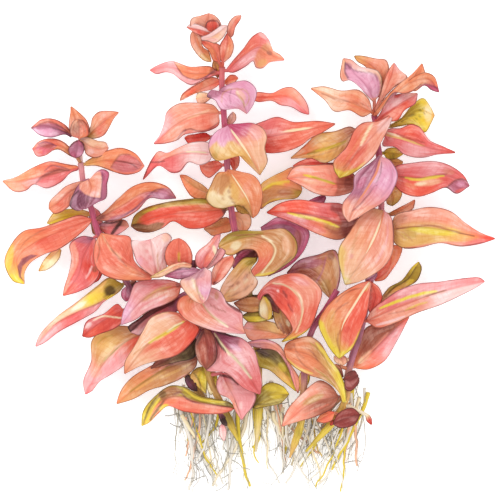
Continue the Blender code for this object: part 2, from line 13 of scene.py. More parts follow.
import bpy
import numpy as np
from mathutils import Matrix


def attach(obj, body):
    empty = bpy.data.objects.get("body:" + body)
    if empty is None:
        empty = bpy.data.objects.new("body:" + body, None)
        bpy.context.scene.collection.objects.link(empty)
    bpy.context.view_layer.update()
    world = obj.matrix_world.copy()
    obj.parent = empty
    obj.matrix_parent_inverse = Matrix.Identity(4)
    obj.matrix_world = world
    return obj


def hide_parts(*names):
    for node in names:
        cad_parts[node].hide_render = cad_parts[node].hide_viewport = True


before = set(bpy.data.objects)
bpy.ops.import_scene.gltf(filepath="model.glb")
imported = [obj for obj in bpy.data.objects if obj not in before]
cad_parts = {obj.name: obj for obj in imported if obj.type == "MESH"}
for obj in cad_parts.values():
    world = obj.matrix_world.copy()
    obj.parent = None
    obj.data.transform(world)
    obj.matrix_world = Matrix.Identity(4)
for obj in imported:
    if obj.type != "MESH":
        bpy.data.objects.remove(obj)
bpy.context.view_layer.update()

GRID = 0.168 / 493.0
GRID_MIDDLE = (248.4, 255.0)
SHEET_MIDDLE = (250.0, 250.0)
SHEET_STEPS = 500.0
MM = 0.001
OPEN_LIGHT = 1.22
# Painted light on low leaves: a point's colour is made up to 60 per cent lighter at the floor, less with height and not
# at all from 14 mm up, to offset the shade that low leaves lie in.
SHADE_LIFT = 0.6
SHADE_LIFT_HEIGHT = 14.0

log = logging.getLogger("rotala")


class Slot(Enum):
    """The finishes of the plant, by their slots."""

    CORAL = "coral_leaf"
    ROSE = "rose_leaf"
    PEACH = "peach_leaf"
    OLIVE = "olive_leaf"
    MAUVE = "mauve_leaf"
    STEM = "stem_skin"
    ROOT = "root_fibre"


class Tint(Enum):
    """The colours that the leaves, stems and roots are washed with, as display red, green and blue."""

    CORAL = (0.94, 0.49, 0.39)
    ORANGE = (0.94, 0.57, 0.40)
    SALMON = (0.96, 0.64, 0.54)
    PEACH = (0.98, 0.76, 0.62)
    BLUSH = (0.98, 0.80, 0.78)
    PINK = (0.95, 0.65, 0.65)
    ROSE = (0.91, 0.46, 0.45)
    RED = (0.88, 0.32, 0.26)
    SCARLET = (0.95, 0.40, 0.31)
    LILAC = (0.93, 0.66, 0.76)
    MAUVE = (0.72, 0.43, 0.52)
    PLUM = (0.52, 0.26, 0.35)
    MAGENTA = (0.80, 0.33, 0.47)
    TAN = (0.82, 0.57, 0.37)
    GOLD = (0.92, 0.71, 0.41)
    OLIVE = (0.68, 0.56, 0.18)
    YELLOW = (0.94, 0.83, 0.28)
    DARK_OLIVE = (0.37, 0.27, 0.10)
    BROWN = (0.66, 0.36, 0.27)
    MAROON = (0.46, 0.19, 0.19)
    INK = (0.24, 0.13, 0.11)
    CREAM = (0.99, 0.92, 0.76)
    FIBRE = (0.93, 0.90, 0.85)

    @property
    def linear(self) -> np.ndarray:
        """The colour in linear light, of a skin that shows it on an open face."""
        shown = np.array(self.value)
        return np.where(shown <= 0.04045, shown / 12.92, ((shown + 0.055) / 1.055) ** 2.4) / OPEN_LIGHT


Spot3 = tuple[float, float, float]
Spot2 = tuple[float, float]


def place(x: float, y: float, height: float = 0.0) -> tuple[float, float, float]:
    """The point in metres at a grid place and a height in millimetres."""
    return ((x - GRID_MIDDLE[0]) * GRID, (GRID_MIDDLE[1] - y) * GRID, height * MM)


def ease(low: float, high: float, value: np.ndarray) -> np.ndarray:
    """A soft step from 0 at low to 1 at high."""
    share = np.clip((value - low) / (high - low), 0.0, 1.0)
    return share * share * (3.0 - 2.0 * share)


def bend_point(before, start, end, after, share: float) -> np.ndarray:
    """A point between start and end, on a smooth curve that also passes before and after.

    Args:
        before: The point before start.
        start: Where the stretch begins.
        end: Where the stretch ends.
        after: The point after end.
        share: How far along the stretch the wanted point is, from 0 to 1.

    Returns:
        The point.
    """
    knots = [0.0]
    for a, b in ((before, start), (start, end), (end, after)):
        knots.append(knots[-1] + math.sqrt(np.linalg.norm(b - a)))
    at = knots[1] + share * (knots[2] - knots[1])

    def mix(a: np.ndarray, b: np.ndarray, low: float, high: float) -> np.ndarray:
        """The point between a and b that belongs to this knot value."""
        return a + (b - a) * (at - low) / (high - low)

    first = mix(before, start, knots[0], knots[1])
    middle = mix(start, end, knots[1], knots[2])
    last = mix(end, after, knots[2], knots[3])
    near = mix(first, middle, knots[0], knots[2])
    far = mix(middle, last, knots[1], knots[3])
    return mix(near, far, knots[1], knots[2])


def through(points, count: int, samples: int = 16) -> np.ndarray:
    """Evenly spaced points on a smooth curve through the given ones.

    Args:
        points: The points that the curve passes, in order.
        count: How many points to give back.
        samples: Steps between two given points before the even spacing.

    Returns:
        An array of count rows.
    """
    points = np.array(points, float)
    points = np.vstack([2 * points[0] - points[1], points, 2 * points[-1] - points[-2]])
    dense = [points[1]]
    for before, start, end, after in zip(points, points[1:], points[2:], points[3:]):
        for step in range(samples):
            dense.append(bend_point(before, start, end, after, (step + 1) / samples))
    dense = np.array(dense)
    along = np.concatenate([[0.0], np.cumsum(np.linalg.norm(np.diff(dense, axis=0), axis=1))])
    wanted = np.linspace(0.0, along[-1], count)
    return np.column_stack([np.interp(wanted, along, values) for values in dense.T])


@dataclass
class Shell:
    """A closed skin with its colours, before it becomes a mesh."""

    points: np.ndarray
    faces: list[tuple[int, ...]]
    uv: np.ndarray
    wash: np.ndarray
    rib: np.ndarray
    mark: np.ndarray


def as_object(name: str, shells: list[Shell], material: bpy.types.Material) -> bpy.types.Object:
    """Joins shells into one mesh object.

    Args:
        name: The object's name.
        shells: The skins that it is made of.
        material: Its material.

    Returns:
        The object, in the scene.
    """
    faces: list[tuple[int, ...]] = []
    start = 0
    for shell in shells:
        faces += [tuple(corner + start for corner in face) for face in shell.faces]
        start += len(shell.points)
    mesh = bpy.data.meshes.new(name)
    mesh.from_pydata(np.vstack([shell.points for shell in shells]).tolist(), [], faces)
    corner = np.empty(len(mesh.loops), np.int32)
    mesh.loops.foreach_get("vertex_index", corner)
    uv = np.vstack([shell.uv for shell in shells])
    mesh.uv_layers.new(name="UVMap").data.foreach_set("uv", uv[corner].astype(np.float32).ravel())
    for layer in ("wash", "rib", "mark"):
        values = np.vstack([getattr(shell, layer) for shell in shells])
        colours = mesh.color_attributes.new(layer, "FLOAT_COLOR", "POINT")
        colours.data.foreach_set("color", values.astype(np.float32).ravel())
    mesh.shade_smooth()
    mesh.materials.append(material)
    obj = bpy.data.objects.new(name, mesh)
    bpy.context.scene.collection.objects.link(obj)
    return obj


def tube(points: np.ndarray, radii: np.ndarray, sides: int, wash: np.ndarray, across: float = -1.0) -> Shell:
    """A closed round tube along points.

    Args:
        points: The middle of the tube, in metres.
        radii: Its radius at each point, in metres.
        sides: Faces round it.
        wash: A linear colour for each point.
        across: The u value all over it, or below 0 to let u run once round the tube.

    Returns:
        The tube, with a point at the middle of each end.
    """
    count = len(points)
    along = np.gradient(points, axis=0)
    along /= np.linalg.norm(along, axis=1, keepdims=True)
    side = np.cross(along, (0.0, 0.0, 1.0))
    side /= np.maximum(np.linalg.norm(side, axis=1, keepdims=True), 1e-9)
    up = np.cross(side, along)
    angles = np.arange(sides) * 2 * math.pi / sides
    ring = side[:, None] * np.cos(angles)[None, :, None] + up[:, None] * np.sin(angles)[None, :, None]
    body = (points[:, None] + ring * np.asarray(radii)[:, None, None]).reshape(-1, 3)
    faces: list[tuple[int, ...]] = []
    for i in range(count - 1):
        for j in range(sides):
            a, b = i * sides + j, i * sides + (j + 1) % sides
            faces.append((a, a + sides, b + sides, b))
    first, last = count * sides, count * sides + 1
    for j in range(sides):
        after = (j + 1) % sides
        faces.append((first, j, after))
        faces.append((last, (count - 1) * sides + after, (count - 1) * sides + j))
    u = np.full((count, sides), across) if across >= 0 else np.tile(np.arange(sides) / sides, (count, 1))
    v = np.repeat(np.linspace(0, 1, count), sides)
    uv = np.vstack([np.column_stack([u.ravel(), v]), [(0.3, 0.0), (0.3, 1.0)]])
    colours = np.vstack([np.repeat(wash, sides, axis=0), wash[:1], wash[-1:]])
    colours = np.column_stack([colours, np.ones(len(colours))])
    total = len(body) + 2
    mark = np.tile((40.0, points[0, 0] / MM, 8.0, 30.0), (total, 1))
    return Shell(np.vstack([body, points[:1], points[-1:]]), faces, uv, colours, np.zeros((total, 4)), mark)


def tints(names: str) -> tuple[Tint, ...]:
    """The tints that a row of words names."""
    return tuple(Tint[name.upper()] for name in names.split())


def numbers(text: str) -> tuple[float, ...]:
    """The numbers in a text."""
    return tuple(float(word) for word in text.split())


def spots(text: str) -> tuple[tuple[float, ...], ...]:
    """The places in a text, with a comma between one and the next."""
    return tuple(numbers(spot) for spot in text.split(","))


def along_tints(tints: tuple[Tint, ...], share: np.ndarray) -> np.ndarray:
    """The linear colour at each share of the way through evenly spaced tints."""
    stops = np.array([tint.linear for tint in tints])
    at = np.linspace(0.0, 1.0, len(stops))
    return np.column_stack([np.interp(share, at, stops[:, c]) for c in range(3)])


@dataclass(frozen=True)
class Oval:
    """A soft-edged oval of another tint on a leaf's face."""

    x: float
    y: float
    length: float
    width: float
    turn: float
    tint: Tint
    strength: float = 0.55

    def weight(self, plan: np.ndarray) -> np.ndarray:
        """How strongly each grid place is tinted, from 0 to 1."""
        angle = math.radians(self.turn)
        off = plan - np.array((self.x, self.y))
        long = off[:, 0] * math.cos(angle) - off[:, 1] * math.sin(angle)
        wide = off[:, 0] * math.sin(angle) + off[:, 1] * math.cos(angle)
        reach = np.hypot(long / (self.length / 2), wide / (self.width / 2))
        return (1.0 - ease(0.62, 1.12, reach)) * self.strength


def to_line(plan: np.ndarray, spots: np.ndarray) -> tuple[np.ndarray, np.ndarray]:
    """How far places are from a line through spots.

    Args:
        plan: The places, one a row.
        spots: The line's corners.

    Returns:
        The distance of each place, and how far along the line its nearest point is, from 0 to 1.
    """
    best = np.full(len(plan), 1e9)
    share = np.zeros(len(plan))
    for i, (a, b) in enumerate(zip(spots, spots[1:])):
        step = b - a
        along = np.clip((plan - a) @ step / max(step @ step, 1e-9), 0.0, 1.0)
        away = np.linalg.norm(plan - a - along[:, None] * step, axis=1)
        share = np.where(away < best, (i + along) / (len(spots) - 1), share)
        best = np.minimum(best, away)
    return best, share


@dataclass(frozen=True)
class Line:
    """A stroke of another tint through grid places, thinner at both ends."""

    spots: tuple[Spot2, ...]
    tint: Tint = Tint.INK
    width: float = 1.1
    strength: float = 0.55

    def weight(self, plan: np.ndarray) -> np.ndarray:
        """How strongly each grid place is tinted, from 0 to 1."""
        away, share = to_line(plan, through(self.spots, 8 * len(self.spots)))
        reach = self.width / 2 * np.minimum(1.0, 0.35 + 4 * share * (1 - share))
        return (1.0 - ease(reach * 0.6, reach * 0.6 + 0.9, away)) * self.strength


@dataclass(frozen=True)
class Area:
    """A part of another tint with a drawn border, such as a turned-over lip or a hollow."""

    spots: tuple[Spot2, ...]
    tint: Tint
    strength: float = 0.8
    soft: float = 1.6

    def weight(self, plan: np.ndarray) -> np.ndarray:
        """How strongly each grid place is tinted, from 0 to 1."""
        corners = np.array([*self.spots, self.spots[0]], float)
        inside = np.zeros(len(plan), bool)
        for (ax, ay), (bx, by) in zip(corners, corners[1:]):
            if ay != by:
                crosses = (ay > plan[:, 1]) != (by > plan[:, 1])
                inside ^= crosses & (plan[:, 0] < ax + (plan[:, 1] - ay) * (bx - ax) / (by - ay))
        away, _ = to_line(plan, corners)
        return ease(-self.soft / 2, self.soft / 2, np.where(inside, away, -away)) * self.strength


Mark = Oval | Line | Area


def read_mark(kind: str, words: str, where: str) -> Mark:
    """Reads one mark.

    Args:
        kind: What it is: oval, line or area.
        words: Its tint, then its strength, width or softness where they aren't the usual ones.
        where: Its places on the sheet.

    Returns:
        The mark.
    """
    name, *sizes = words.split()
    values = [float(size) for size in sizes]
    if kind == "oval":
        return Oval(*numbers(where), Tint[name.upper()], *values)
    return {"line": Line, "area": Area}[kind](spots(where), Tint[name.upper()], *values)


@dataclass(frozen=True)
class Rib:
    """A pale or coloured line along the middle vein, with its widest half width in grid steps."""

    tint: Tint = Tint.CREAM
    width: float = 0.0
    start: float = 0.0
    end: float = 1.0

    def widths(self, share: np.ndarray) -> np.ndarray:
        """The line's half width at each share of the way from base to tip."""
        shown = ease(self.start - 0.08, self.start + 0.08, share) * (1.0 - ease(self.end - 0.25, self.end, share))
        return self.width * shown * (1.1 - 0.4 * share)


@dataclass(frozen=True)
class Wash:
    """The colours of a leaf: each half from base to tip, the underside, the middle vein and the marks."""

    left: tuple[Tint, ...]
    right: tuple[Tint, ...]
    under: Tint = Tint.MAUVE
    rib: Rib = Rib()
    marks: tuple[Mark, ...] = ()

    @classmethod
    def read(cls, words: str, rib: Rib, marks: tuple[Mark, ...]) -> "Wash":
        """Reads a wash.

        Args:
            words: The left half's tints, the right half's and perhaps the underside's, with a slash between.
            rib: The line along the middle vein.
            marks: The marks on the upper face, each over the last.

        Returns:
            The wash.
        """
        left, right, *under = (tints(part) for part in words.split("/"))
        return cls(left, right, under[0][0] if under else Tint.MAUVE, rib, marks)


@dataclass
class Leaf:
    """One leaf blade with its middle vein standing out below it and its stalk to the stem."""

    vein: tuple[Spot3, ...]
    left: tuple[Spot2, ...]
    right: tuple[Spot2, ...]
    wash: Wash
    lift: Spot2 = (-0.3, -0.3)
    rows: int = 80
    columns: int = 18
    thickness: float = 0.42 * MM
    groove: float = 0.22 * MM
    wave: float = 0.32 * MM
    base_half_width: float = 2.4 * GRID
    tip_half_width: float = 0.8 * GRID

    @classmethod
    def read(cls, statements: list[str]) -> "Leaf":
        """Reads a leaf.

        Args:
            statements: Its vein, left and right margins, wash, lift, rib and marks, each after its name.

        Returns:
            The leaf.
        """
        rib, marks, shape = Rib(), [], {}
        for statement in statements:
            key, rest = statement.split(" ", 1)
            if key in ("oval", "line", "area"):
                marks.append(read_mark(key, *rest.split(": ")))
            elif key == "rib":
                tint, width, start, end = rest.split()
                rib = Rib(Tint[tint.upper()], float(width), float(start), float(end))
            elif key == "lift":
                shape["lift"] = numbers(rest)
            else:
                shape[key] = rest if key == "wash" else spots(rest)
        shape["wash"] = Wash.read(shape["wash"], rib, tuple(marks))
        return cls(**shape)

    def margin(self, vein: np.ndarray, places: tuple[Spot2, ...], side: int) -> np.ndarray:
        """One margin of the blade in plan.

        Args:
            vein: The middle vein's points.
            places: The grid places that the margin passes.
            side: 1 for the left hand and -1 for the right.

        Returns:
            Points from beside the base to beside the tip, one a row.
        """
        out = vein[1, :2] - vein[0, :2]
        at_base = side * np.array((-out[1], out[0])) / np.linalg.norm(out)
        out = vein[-1, :2] - vein[-2, :2]
        at_tip = side * np.array((-out[1], out[0])) / np.linalg.norm(out)
        start = vein[0, :2] + self.base_half_width * at_base
        end = vein[-1, :2] + self.tip_half_width * at_tip
        middle = [place(*spot)[:2] for spot in places]
        return through([start, *middle, end], self.rows)

    def spread(self) -> np.ndarray:
        """The columns from the left margin to the right, from -1 to 1 and closer together at the margins."""
        even = np.linspace(-1.0, 1.0, 2 * self.columns + 1)
        return 0.55 * even + 0.45 * np.sin(even * math.pi / 2)

    def surface(self) -> np.ndarray:
        """The middle surface of the blade, as rows from base to tip of points from left to right."""
        vein = through([place(*spot) for spot in self.vein], self.rows)
        sides = {-1: self.margin(vein, self.left, 1), 1: self.margin(vein, self.right, -1)}
        v = np.linspace(0.0, 1.0, self.rows)
        fullness = np.sin(math.pi * v)
        u = self.spread()
        phase = vein[0, 0] * 900.0
        grid = np.empty((self.rows, len(u), 3))
        for j, column in enumerate(u):
            side = -1 if column < 0 else 1
            share = abs(column)
            lift = self.lift[0] if side < 0 else self.lift[1]
            grid[:, j, :2] = vein[:, :2] + share * (sides[side] - vein[:, :2])
            rise = lift * MM * share**2 * fullness
            rise -= self.groove * math.exp(-((column / 0.13) ** 2)) * fullness
            ribs = np.cos(2 * math.pi * (9.0 * v - 1.5 * share))
            rise += 0.11 * MM * ribs * 4 * share * (1 - share) * fullness
            waves = np.sin(2 * math.pi * (2.6 * v + 0.21 * side) + phase + side)
            waves += 0.5 * np.sin(2 * math.pi * 5.3 * v + 1.7 * phase - side)
            rise += self.wave * waves * share**3 * fullness
            grid[:, j, 2] = vein[:, 2] + rise
        return grid

    def colours(self, grid: np.ndarray) -> np.ndarray:
        """The linear colour of each point of the upper face, with painted light on low leaves.

        Args:
            grid: The surface's rows of points.

        Returns:
            One row of red, green and blue a point.
        """
        rows, width = grid.shape[:2]
        v = np.repeat(np.linspace(0.0, 1.0, rows), width)
        u = np.tile(self.spread(), rows)
        half = ease(-0.2, 0.2, u)[:, None]
        colour = along_tints(self.wash.left, v) * (1 - half) + along_tints(self.wash.right, v) * half
        plan = grid.reshape(-1, 3)[:, :2] / GRID
        plan = np.column_stack([plan[:, 0] + GRID_MIDDLE[0], GRID_MIDDLE[1] - plan[:, 1]])
        for mark in self.wash.marks:
            weight = mark.weight(plan)[:, None]
            colour = colour * (1 - weight) + mark.tint.linear * weight
        height = grid.reshape(-1, 3)[:, 2:] / MM
        # Painted light: points nearer the floor are made lighter to offset the shade they lie in.
        return colour * (1.0 + SHADE_LIFT * np.clip(1.0 - height / SHADE_LIFT_HEIGHT, 0.0, 1.0))

    def blade(self) -> Shell:
        """The closed blade, thinner towards its margins."""
        grid = self.surface()
        rows, width = grid.shape[:2]
        along = np.gradient(grid, axis=0)
        across = np.gradient(grid, axis=1)
        out = np.cross(across, along)
        out /= np.maximum(np.linalg.norm(out, axis=2, keepdims=True), 1e-12)
        u = self.spread()
        v = np.linspace(0.0, 1.0, rows)
        half_thick = self.thickness / 2 * (1.0 - 0.6 * u**4)[None, :, None]
        top = (grid + out * half_thick).reshape(-1, 3)
        under = (grid - out * half_thick).reshape(-1, 3)
        low = rows * width
        faces: list[tuple[int, ...]] = []
        for i in range(rows - 1):
            for j in range(width - 1):
                a = i * width + j
                faces.append((a, a + 1, a + 1 + width, a + width))
                faces.append((a + low, a + width + low, a + 1 + width + low, a + 1 + low))
        rim = [i * width for i in range(rows)]
        rim += [(rows - 1) * width + j for j in range(1, width)]
        rim += [i * width + width - 1 for i in reversed(range(rows - 1))]
        rim += list(reversed(range(1, width - 1)))
        for a, b in zip(rim, rim[1:] + rim[:1]):
            faces.append((a, b, b + low, a + low))
        uv = np.column_stack([np.tile((u + 1) / 2, rows), np.repeat(v, width)])
        face = self.colours(grid)
        back = np.tile(self.wash.under.linear, (low, 1)) * 0.8 + face * 0.2
        wash = np.column_stack([np.vstack([face, back]), np.ones(2 * low)])
        rib = np.column_stack([np.tile(self.wash.rib.tint.linear, (rows, 1)), self.wash.rib.widths(v)])
        reach = (np.linalg.norm(grid[:, -1] - grid[:, 0], axis=1) / 2) / GRID
        length = np.linalg.norm(np.diff(grid[:, width // 2], axis=0), axis=1).sum() / GRID
        mark = np.column_stack([reach, np.tile((grid[0, 0, 0] / MM, reach.max(), length), (rows, 1))])
        rib, mark = (np.tile(np.repeat(layer, width, axis=0), (2, 1)) for layer in (rib, mark))
        return Shell(np.vstack([top, under]), faces, np.vstack([uv, uv]), wash, rib, mark)

    def stalk(self, stems: list["Stem"]) -> Shell:
        """The stalk from the nearest stem, running on as the ridge of the middle vein below the blade.

        Args:
            stems: The stems that the leaf may stand on.

        Returns:
            The tube.
        """
        vein = through([place(*spot) for spot in self.vein], 24)
        vein[:, 2] -= 0.34 * MM + self.groove * np.sin(math.pi * np.linspace(0, 1, 24))
        foot = min((stem.nearest(vein[0]) for stem in stems), key=lambda at: np.linalg.norm(at - vein[0]))
        share = np.linspace(0.0, 1.0, 24)
        radii = MM * (0.46 * (1 - share) ** 1.2 + 0.10)
        if 0.2 * MM < np.linalg.norm(foot - vein[0]) < 9 * MM:
            vein = np.vstack([foot, (foot + vein[0]) / 2, vein])
            radii = np.concatenate([[0.75 * MM, 0.62 * MM], radii])
        vein[:, 2] = np.maximum(vein[:, 2], radii)
        wash = along_tints((self.wash.left[0], self.wash.under, self.wash.under), np.linspace(0, 1, len(vein)))
        return tube(vein[:-1], radii[:-1], 8, wash[:-1], across=0.3)

    def shells(self, stems: list["Stem"]) -> list[Shell]:
        """The blade and its stalk."""
        return [self.blade(), self.stalk(stems)]


@dataclass
class SmallLeaf(Leaf):
    """A small leaf, a turned-over part of a large one, or a dark sheet that is painted shade between leaves."""

    rows: int = 44
    columns: int = 9
    thickness: float = 0.34 * MM
    groove: float = 0.15 * MM
    wave: float = 0.2 * MM
    base_half_width: float = 2.0 * GRID


LEAF_KINDS = {"large": Leaf, "small": SmallLeaf}


@dataclass
class Stem:
    """A round stem with a slight swelling at each pair of leaves."""

    name: str
    route: tuple[Spot3, ...]
    tints: tuple[Tint, ...]
    radius: float = 1.3 * MM
    tip_share: float = 0.75
    swelling: float = 0.16
    spacing: float = 13.0 * MM
    rows: int = 150
    sides: int = 20

    def middle(self, count: int) -> np.ndarray:
        """Points along the middle of the stem, from its top to its foot."""
        return through([place(*spot) for spot in self.route], count)

    def nearest(self, point: np.ndarray) -> np.ndarray:
        """The point of the stem's middle that is nearest to the given one."""
        line = self.middle(120)
        return line[np.argmin(np.linalg.norm(line - point, axis=1))]

    def shell(self) -> Shell:
        """The stem's closed skin."""
        line = self.middle(self.rows)
        share = np.linspace(0.0, 1.0, self.rows)
        length = np.linalg.norm(np.diff(line, axis=0), axis=1).sum()
        beat = np.cos(math.pi * share * length / self.spacing) ** 16
        radii = self.radius * (self.tip_share + (1 - self.tip_share) * share) * (1 + self.swelling * beat)
        radii *= 1 - 0.7 * ease(0.9, 1.0, share)
        wash = along_tints(self.tints, share)
        wash = wash * (1 - 0.25 * beat[:, None])
        return tube(line, radii, self.sides, wash)


class Wire:
    """One output of a shader node, so that shader maths reads as plain expressions."""

    def __init__(self, net: "Net", socket: bpy.types.NodeSocket) -> None:
        """Keeps the net and the socket."""
        self.net = net
        self.socket = socket

    def maths(self, operation: str, first: "Wire | float", second: "Wire | float") -> "Wire":
        """A Math node on two values."""
        return self.net.node("ShaderNodeMath", {"operation": operation}, {0: first, 1: second})

    def __add__(self, other: "Wire | float") -> "Wire":
        """The sum."""
        return self.maths("ADD", self, other)

    __radd__ = __add__

    def __sub__(self, other: "Wire | float") -> "Wire":
        """The difference."""
        return self.maths("SUBTRACT", self, other)

    def __rsub__(self, other: "Wire | float") -> "Wire":
        """The difference, the other way round."""
        return self.maths("SUBTRACT", other, self)

    def __mul__(self, other: "Wire | float") -> "Wire":
        """The product."""
        return self.maths("MULTIPLY", self, other)

    __rmul__ = __mul__

    def __pow__(self, other: "Wire | float") -> "Wire":
        """The power."""
        return self.maths("POWER", self, other)


@dataclass
class Net:
    """The node tree of one material."""

    material: bpy.types.Material
    tree: bpy.types.NodeTree = field(init=False)

    def __post_init__(self) -> None:
        """Empties the material's tree."""
        self.material.use_nodes = True
        self.tree = self.material.node_tree
        self.tree.nodes.clear()

    def node(self, kind: str, settings: dict, values: dict, output: int | str = 0) -> Wire:
        """Adds a node.

        Args:
            kind: The node's type.
            settings: The node's own settings, which are set first.
            values: What goes into its sockets, by name or number: a wire, a number or a colour.
            output: The name or number of the output wanted.

        Returns:
            That output.
        """
        made = self.tree.nodes.new(kind)
        for name, value in settings.items():
            setattr(made, name, value)
        for name, value in values.items():
            if isinstance(value, Wire):
                self.tree.links.new(value.socket, made.inputs[name])
            else:
                made.inputs[name].default_value = value
        return Wire(self, made.outputs[output])

    def split(self, vector: Wire) -> tuple[Wire, Wire, Wire]:
        """The three numbers of a vector or a colour."""
        parts = self.node("ShaderNodeSeparateXYZ", {}, {0: vector}).socket.node.outputs
        return Wire(self, parts[0]), Wire(self, parts[1]), Wire(self, parts[2])

    def point(self, x: Wire, y: Wire, z: Wire) -> Wire:
        """A vector from three numbers."""
        return self.node("ShaderNodeCombineXYZ", {}, {0: x, 1: y, 2: z})

    def noise(self, at: Wire, scale: float, detail: float = 3.0, roughness: float = 0.55) -> Wire:
        """Soft noise around one half, at that many cells a metre."""
        values = {"Vector": at, "Scale": scale, "Detail": detail, "Roughness": roughness}
        return self.node("ShaderNodeTexNoise", {}, values)

    def step(self, low: "Wire | float", high: "Wire | float", value: Wire) -> Wire:
        """A soft step from 0 at low to 1 at high."""
        values = {"Value": value, "From Min": low, "From Max": high}
        return self.node("ShaderNodeMapRange", {"interpolation_type": "SMOOTHSTEP"}, values)

    def blend(self, share: "Wire | float", first, second, how: str = "MIX") -> Wire:
        """A mix of two colours."""
        settings = {"data_type": "RGBA", "blend_type": how}
        return self.node("ShaderNodeMix", settings, {0: share, 6: first, 7: second}, 2)

    def painted(self, layer: str) -> tuple[Wire, Wire]:
        """The colour and the fourth value of one of the mesh's colour layers."""
        colour = self.node("ShaderNodeAttribute", {"attribute_name": layer}, {}, "Color")
        return colour, Wire(self, colour.socket.node.outputs["Alpha"])

    def level(self, layer: str) -> Wire:
        """The value of one of the mesh's number layers."""
        return self.node("ShaderNodeAttribute", {"attribute_name": layer}, {}, "Fac")

    def finish(self, colour: Wire, roughness: Wire, height: Wire, depth: float, values: dict) -> None:
        """Ends the tree in a shader.

        Args:
            colour: Its colour.
            roughness: Its roughness.
            height: The height for its bumps.
            depth: How far the bumps stand out, in metres.
            values: Further numbers for the shader.
        """
        bump = self.node("ShaderNodeBump", {}, {"Height": height, "Distance": depth, "Strength": 0.6})
        sockets = {"Base Color": colour, "Roughness": roughness, "Normal": bump, **values}
        shader = self.node("ShaderNodeBsdfPrincipled", {}, sockets)
        end = self.tree.nodes.new("ShaderNodeOutputMaterial")
        self.tree.links.new(shader.socket, end.inputs["Surface"])


def rgba(tint: Tint, share: float = 1.0) -> tuple[float, float, float, float]:
    """A tint as a node's colour, darkened to that share."""
    return (*(tint.linear * share), 1.0)


@dataclass(frozen=True)
class LeafFinish:
    """A leaf's skin: a wash with light and dark brush strokes along it, fine veins, painted shade along the middle vein
    and beside its pale line, and an ink-dark rim.
    """

    slot: Slot
    roughness: float = 0.5
    dark_strokes: float = 0.6
    light_strokes: float = 0.75

    def make(self) -> bpy.types.Material:
        """Makes the material."""
        net = Net(bpy.data.materials.new(self.slot.value))
        wash, _ = net.painted("wash")
        rib, rib_width = net.painted("rib")
        mark, length = net.painted("mark")
        reach, seed, widest = net.split(mark)
        across, along, _ = net.split(net.node("ShaderNodeUVMap", {}, {}))
        side = across * 2 - 1
        half = net.node("ShaderNodeMath", {"operation": "ABSOLUTE"}, {0: side})
        at = net.node("ShaderNodeTexCoord", {}, {}, "Object")
        grain = net.noise(at, 2600.0, 2.0, 0.6)
        cloud = net.noise(at, 130.0, 3.0, 0.55)
        wobble = net.noise(at, 700.0, 2.0) - 0.5
        broad = net.noise(net.point(side * widest * 0.20, along * length * 0.040, seed), 1.0, 3.0, 0.6)
        fine = net.noise(net.point(side * widest * 0.55, along * length * 0.075, seed + 7.0), 1.0, 3.0, 0.65)
        deep = net.node("ShaderNodeGamma", {}, {"Color": wash, "Gamma": 1.55})
        pale = net.node("ShaderNodeGamma", {}, {"Color": wash, "Gamma": 0.5})
        dark = net.step(0.49, 0.66, broad * 0.65 + cloud * 0.35)
        light = net.step(0.51, 0.36, broad * 0.55 + cloud * 0.45)
        colour = net.blend(dark * self.dark_strokes, wash, deep)
        colour = net.blend(light * self.light_strokes, colour, pale)
        colour = net.blend(net.step(0.55, 0.70, fine) * 0.45, colour, deep)
        colour = net.blend(net.step(0.45, 0.32, fine) * 0.30, colour, pale)
        slant = along * length * 0.16 - half * reach * 0.10 + wobble * 0.35 + cloud * 0.5
        beat = net.node("ShaderNodeMath", {"operation": "PINGPONG"}, {0: slant, 1: 0.5})
        twig = (1 - net.step(0.0, 0.13, beat)) * net.step(0.04, 0.2, half) * (1 - net.step(0.55, 0.9, half))
        colour = net.blend(twig * 0.28, colour, deep)
        from_vein = half * reach + wobble * 0.5
        line = (1 - net.step(rib_width * 0.6, rib_width * 1.05 + 0.05, from_vein)) * net.step(0.05, 0.3, rib_width)
        # Painted shade: a dark line down the middle vein's groove, which is also a dip in the bumps, and a darker band
        # on each side of the pale rib line.
        vein_groove_and_shade = 1 - net.step(0.15, 0.95, from_vein)
        beside = net.step(rib_width, rib_width + 0.4, from_vein) * (1 - net.step(rib_width + 0.8, rib_width + 2.4, from_vein))
        ink = rgba(Tint.INK)
        # The painted shade beside the rib line and along the vein goes on here, before the rib line itself.
        colour = net.blend(beside * 0.3, colour, deep)
        colour = net.blend(vein_groove_and_shade * 0.38, colour, net.blend(0.45, deep, ink))
        colour = net.blend(line * 0.9, colour, rib)
        edge = 1 - net.step(0.45, 1.25, (1 - half) * reach + wobble * 0.9)
        colour = net.blend(edge * (cloud * 0.9 + 0.35), colour, net.blend(0.7, deep, ink))
        colour = net.blend(net.step(0.40, 0.65, grain) * 0.10, colour, deep)
        rough = grain * 0.2 + cloud * 0.15 + (self.roughness - 0.17)
        height = grain * 0.2 + broad * 0.4 + fine * 0.3 - twig * 0.5 - vein_groove_and_shade * 0.4
        net.finish(colour, rough, height, 0.12 * MM, {"Specular IOR Level": 0.3})
        return net.material


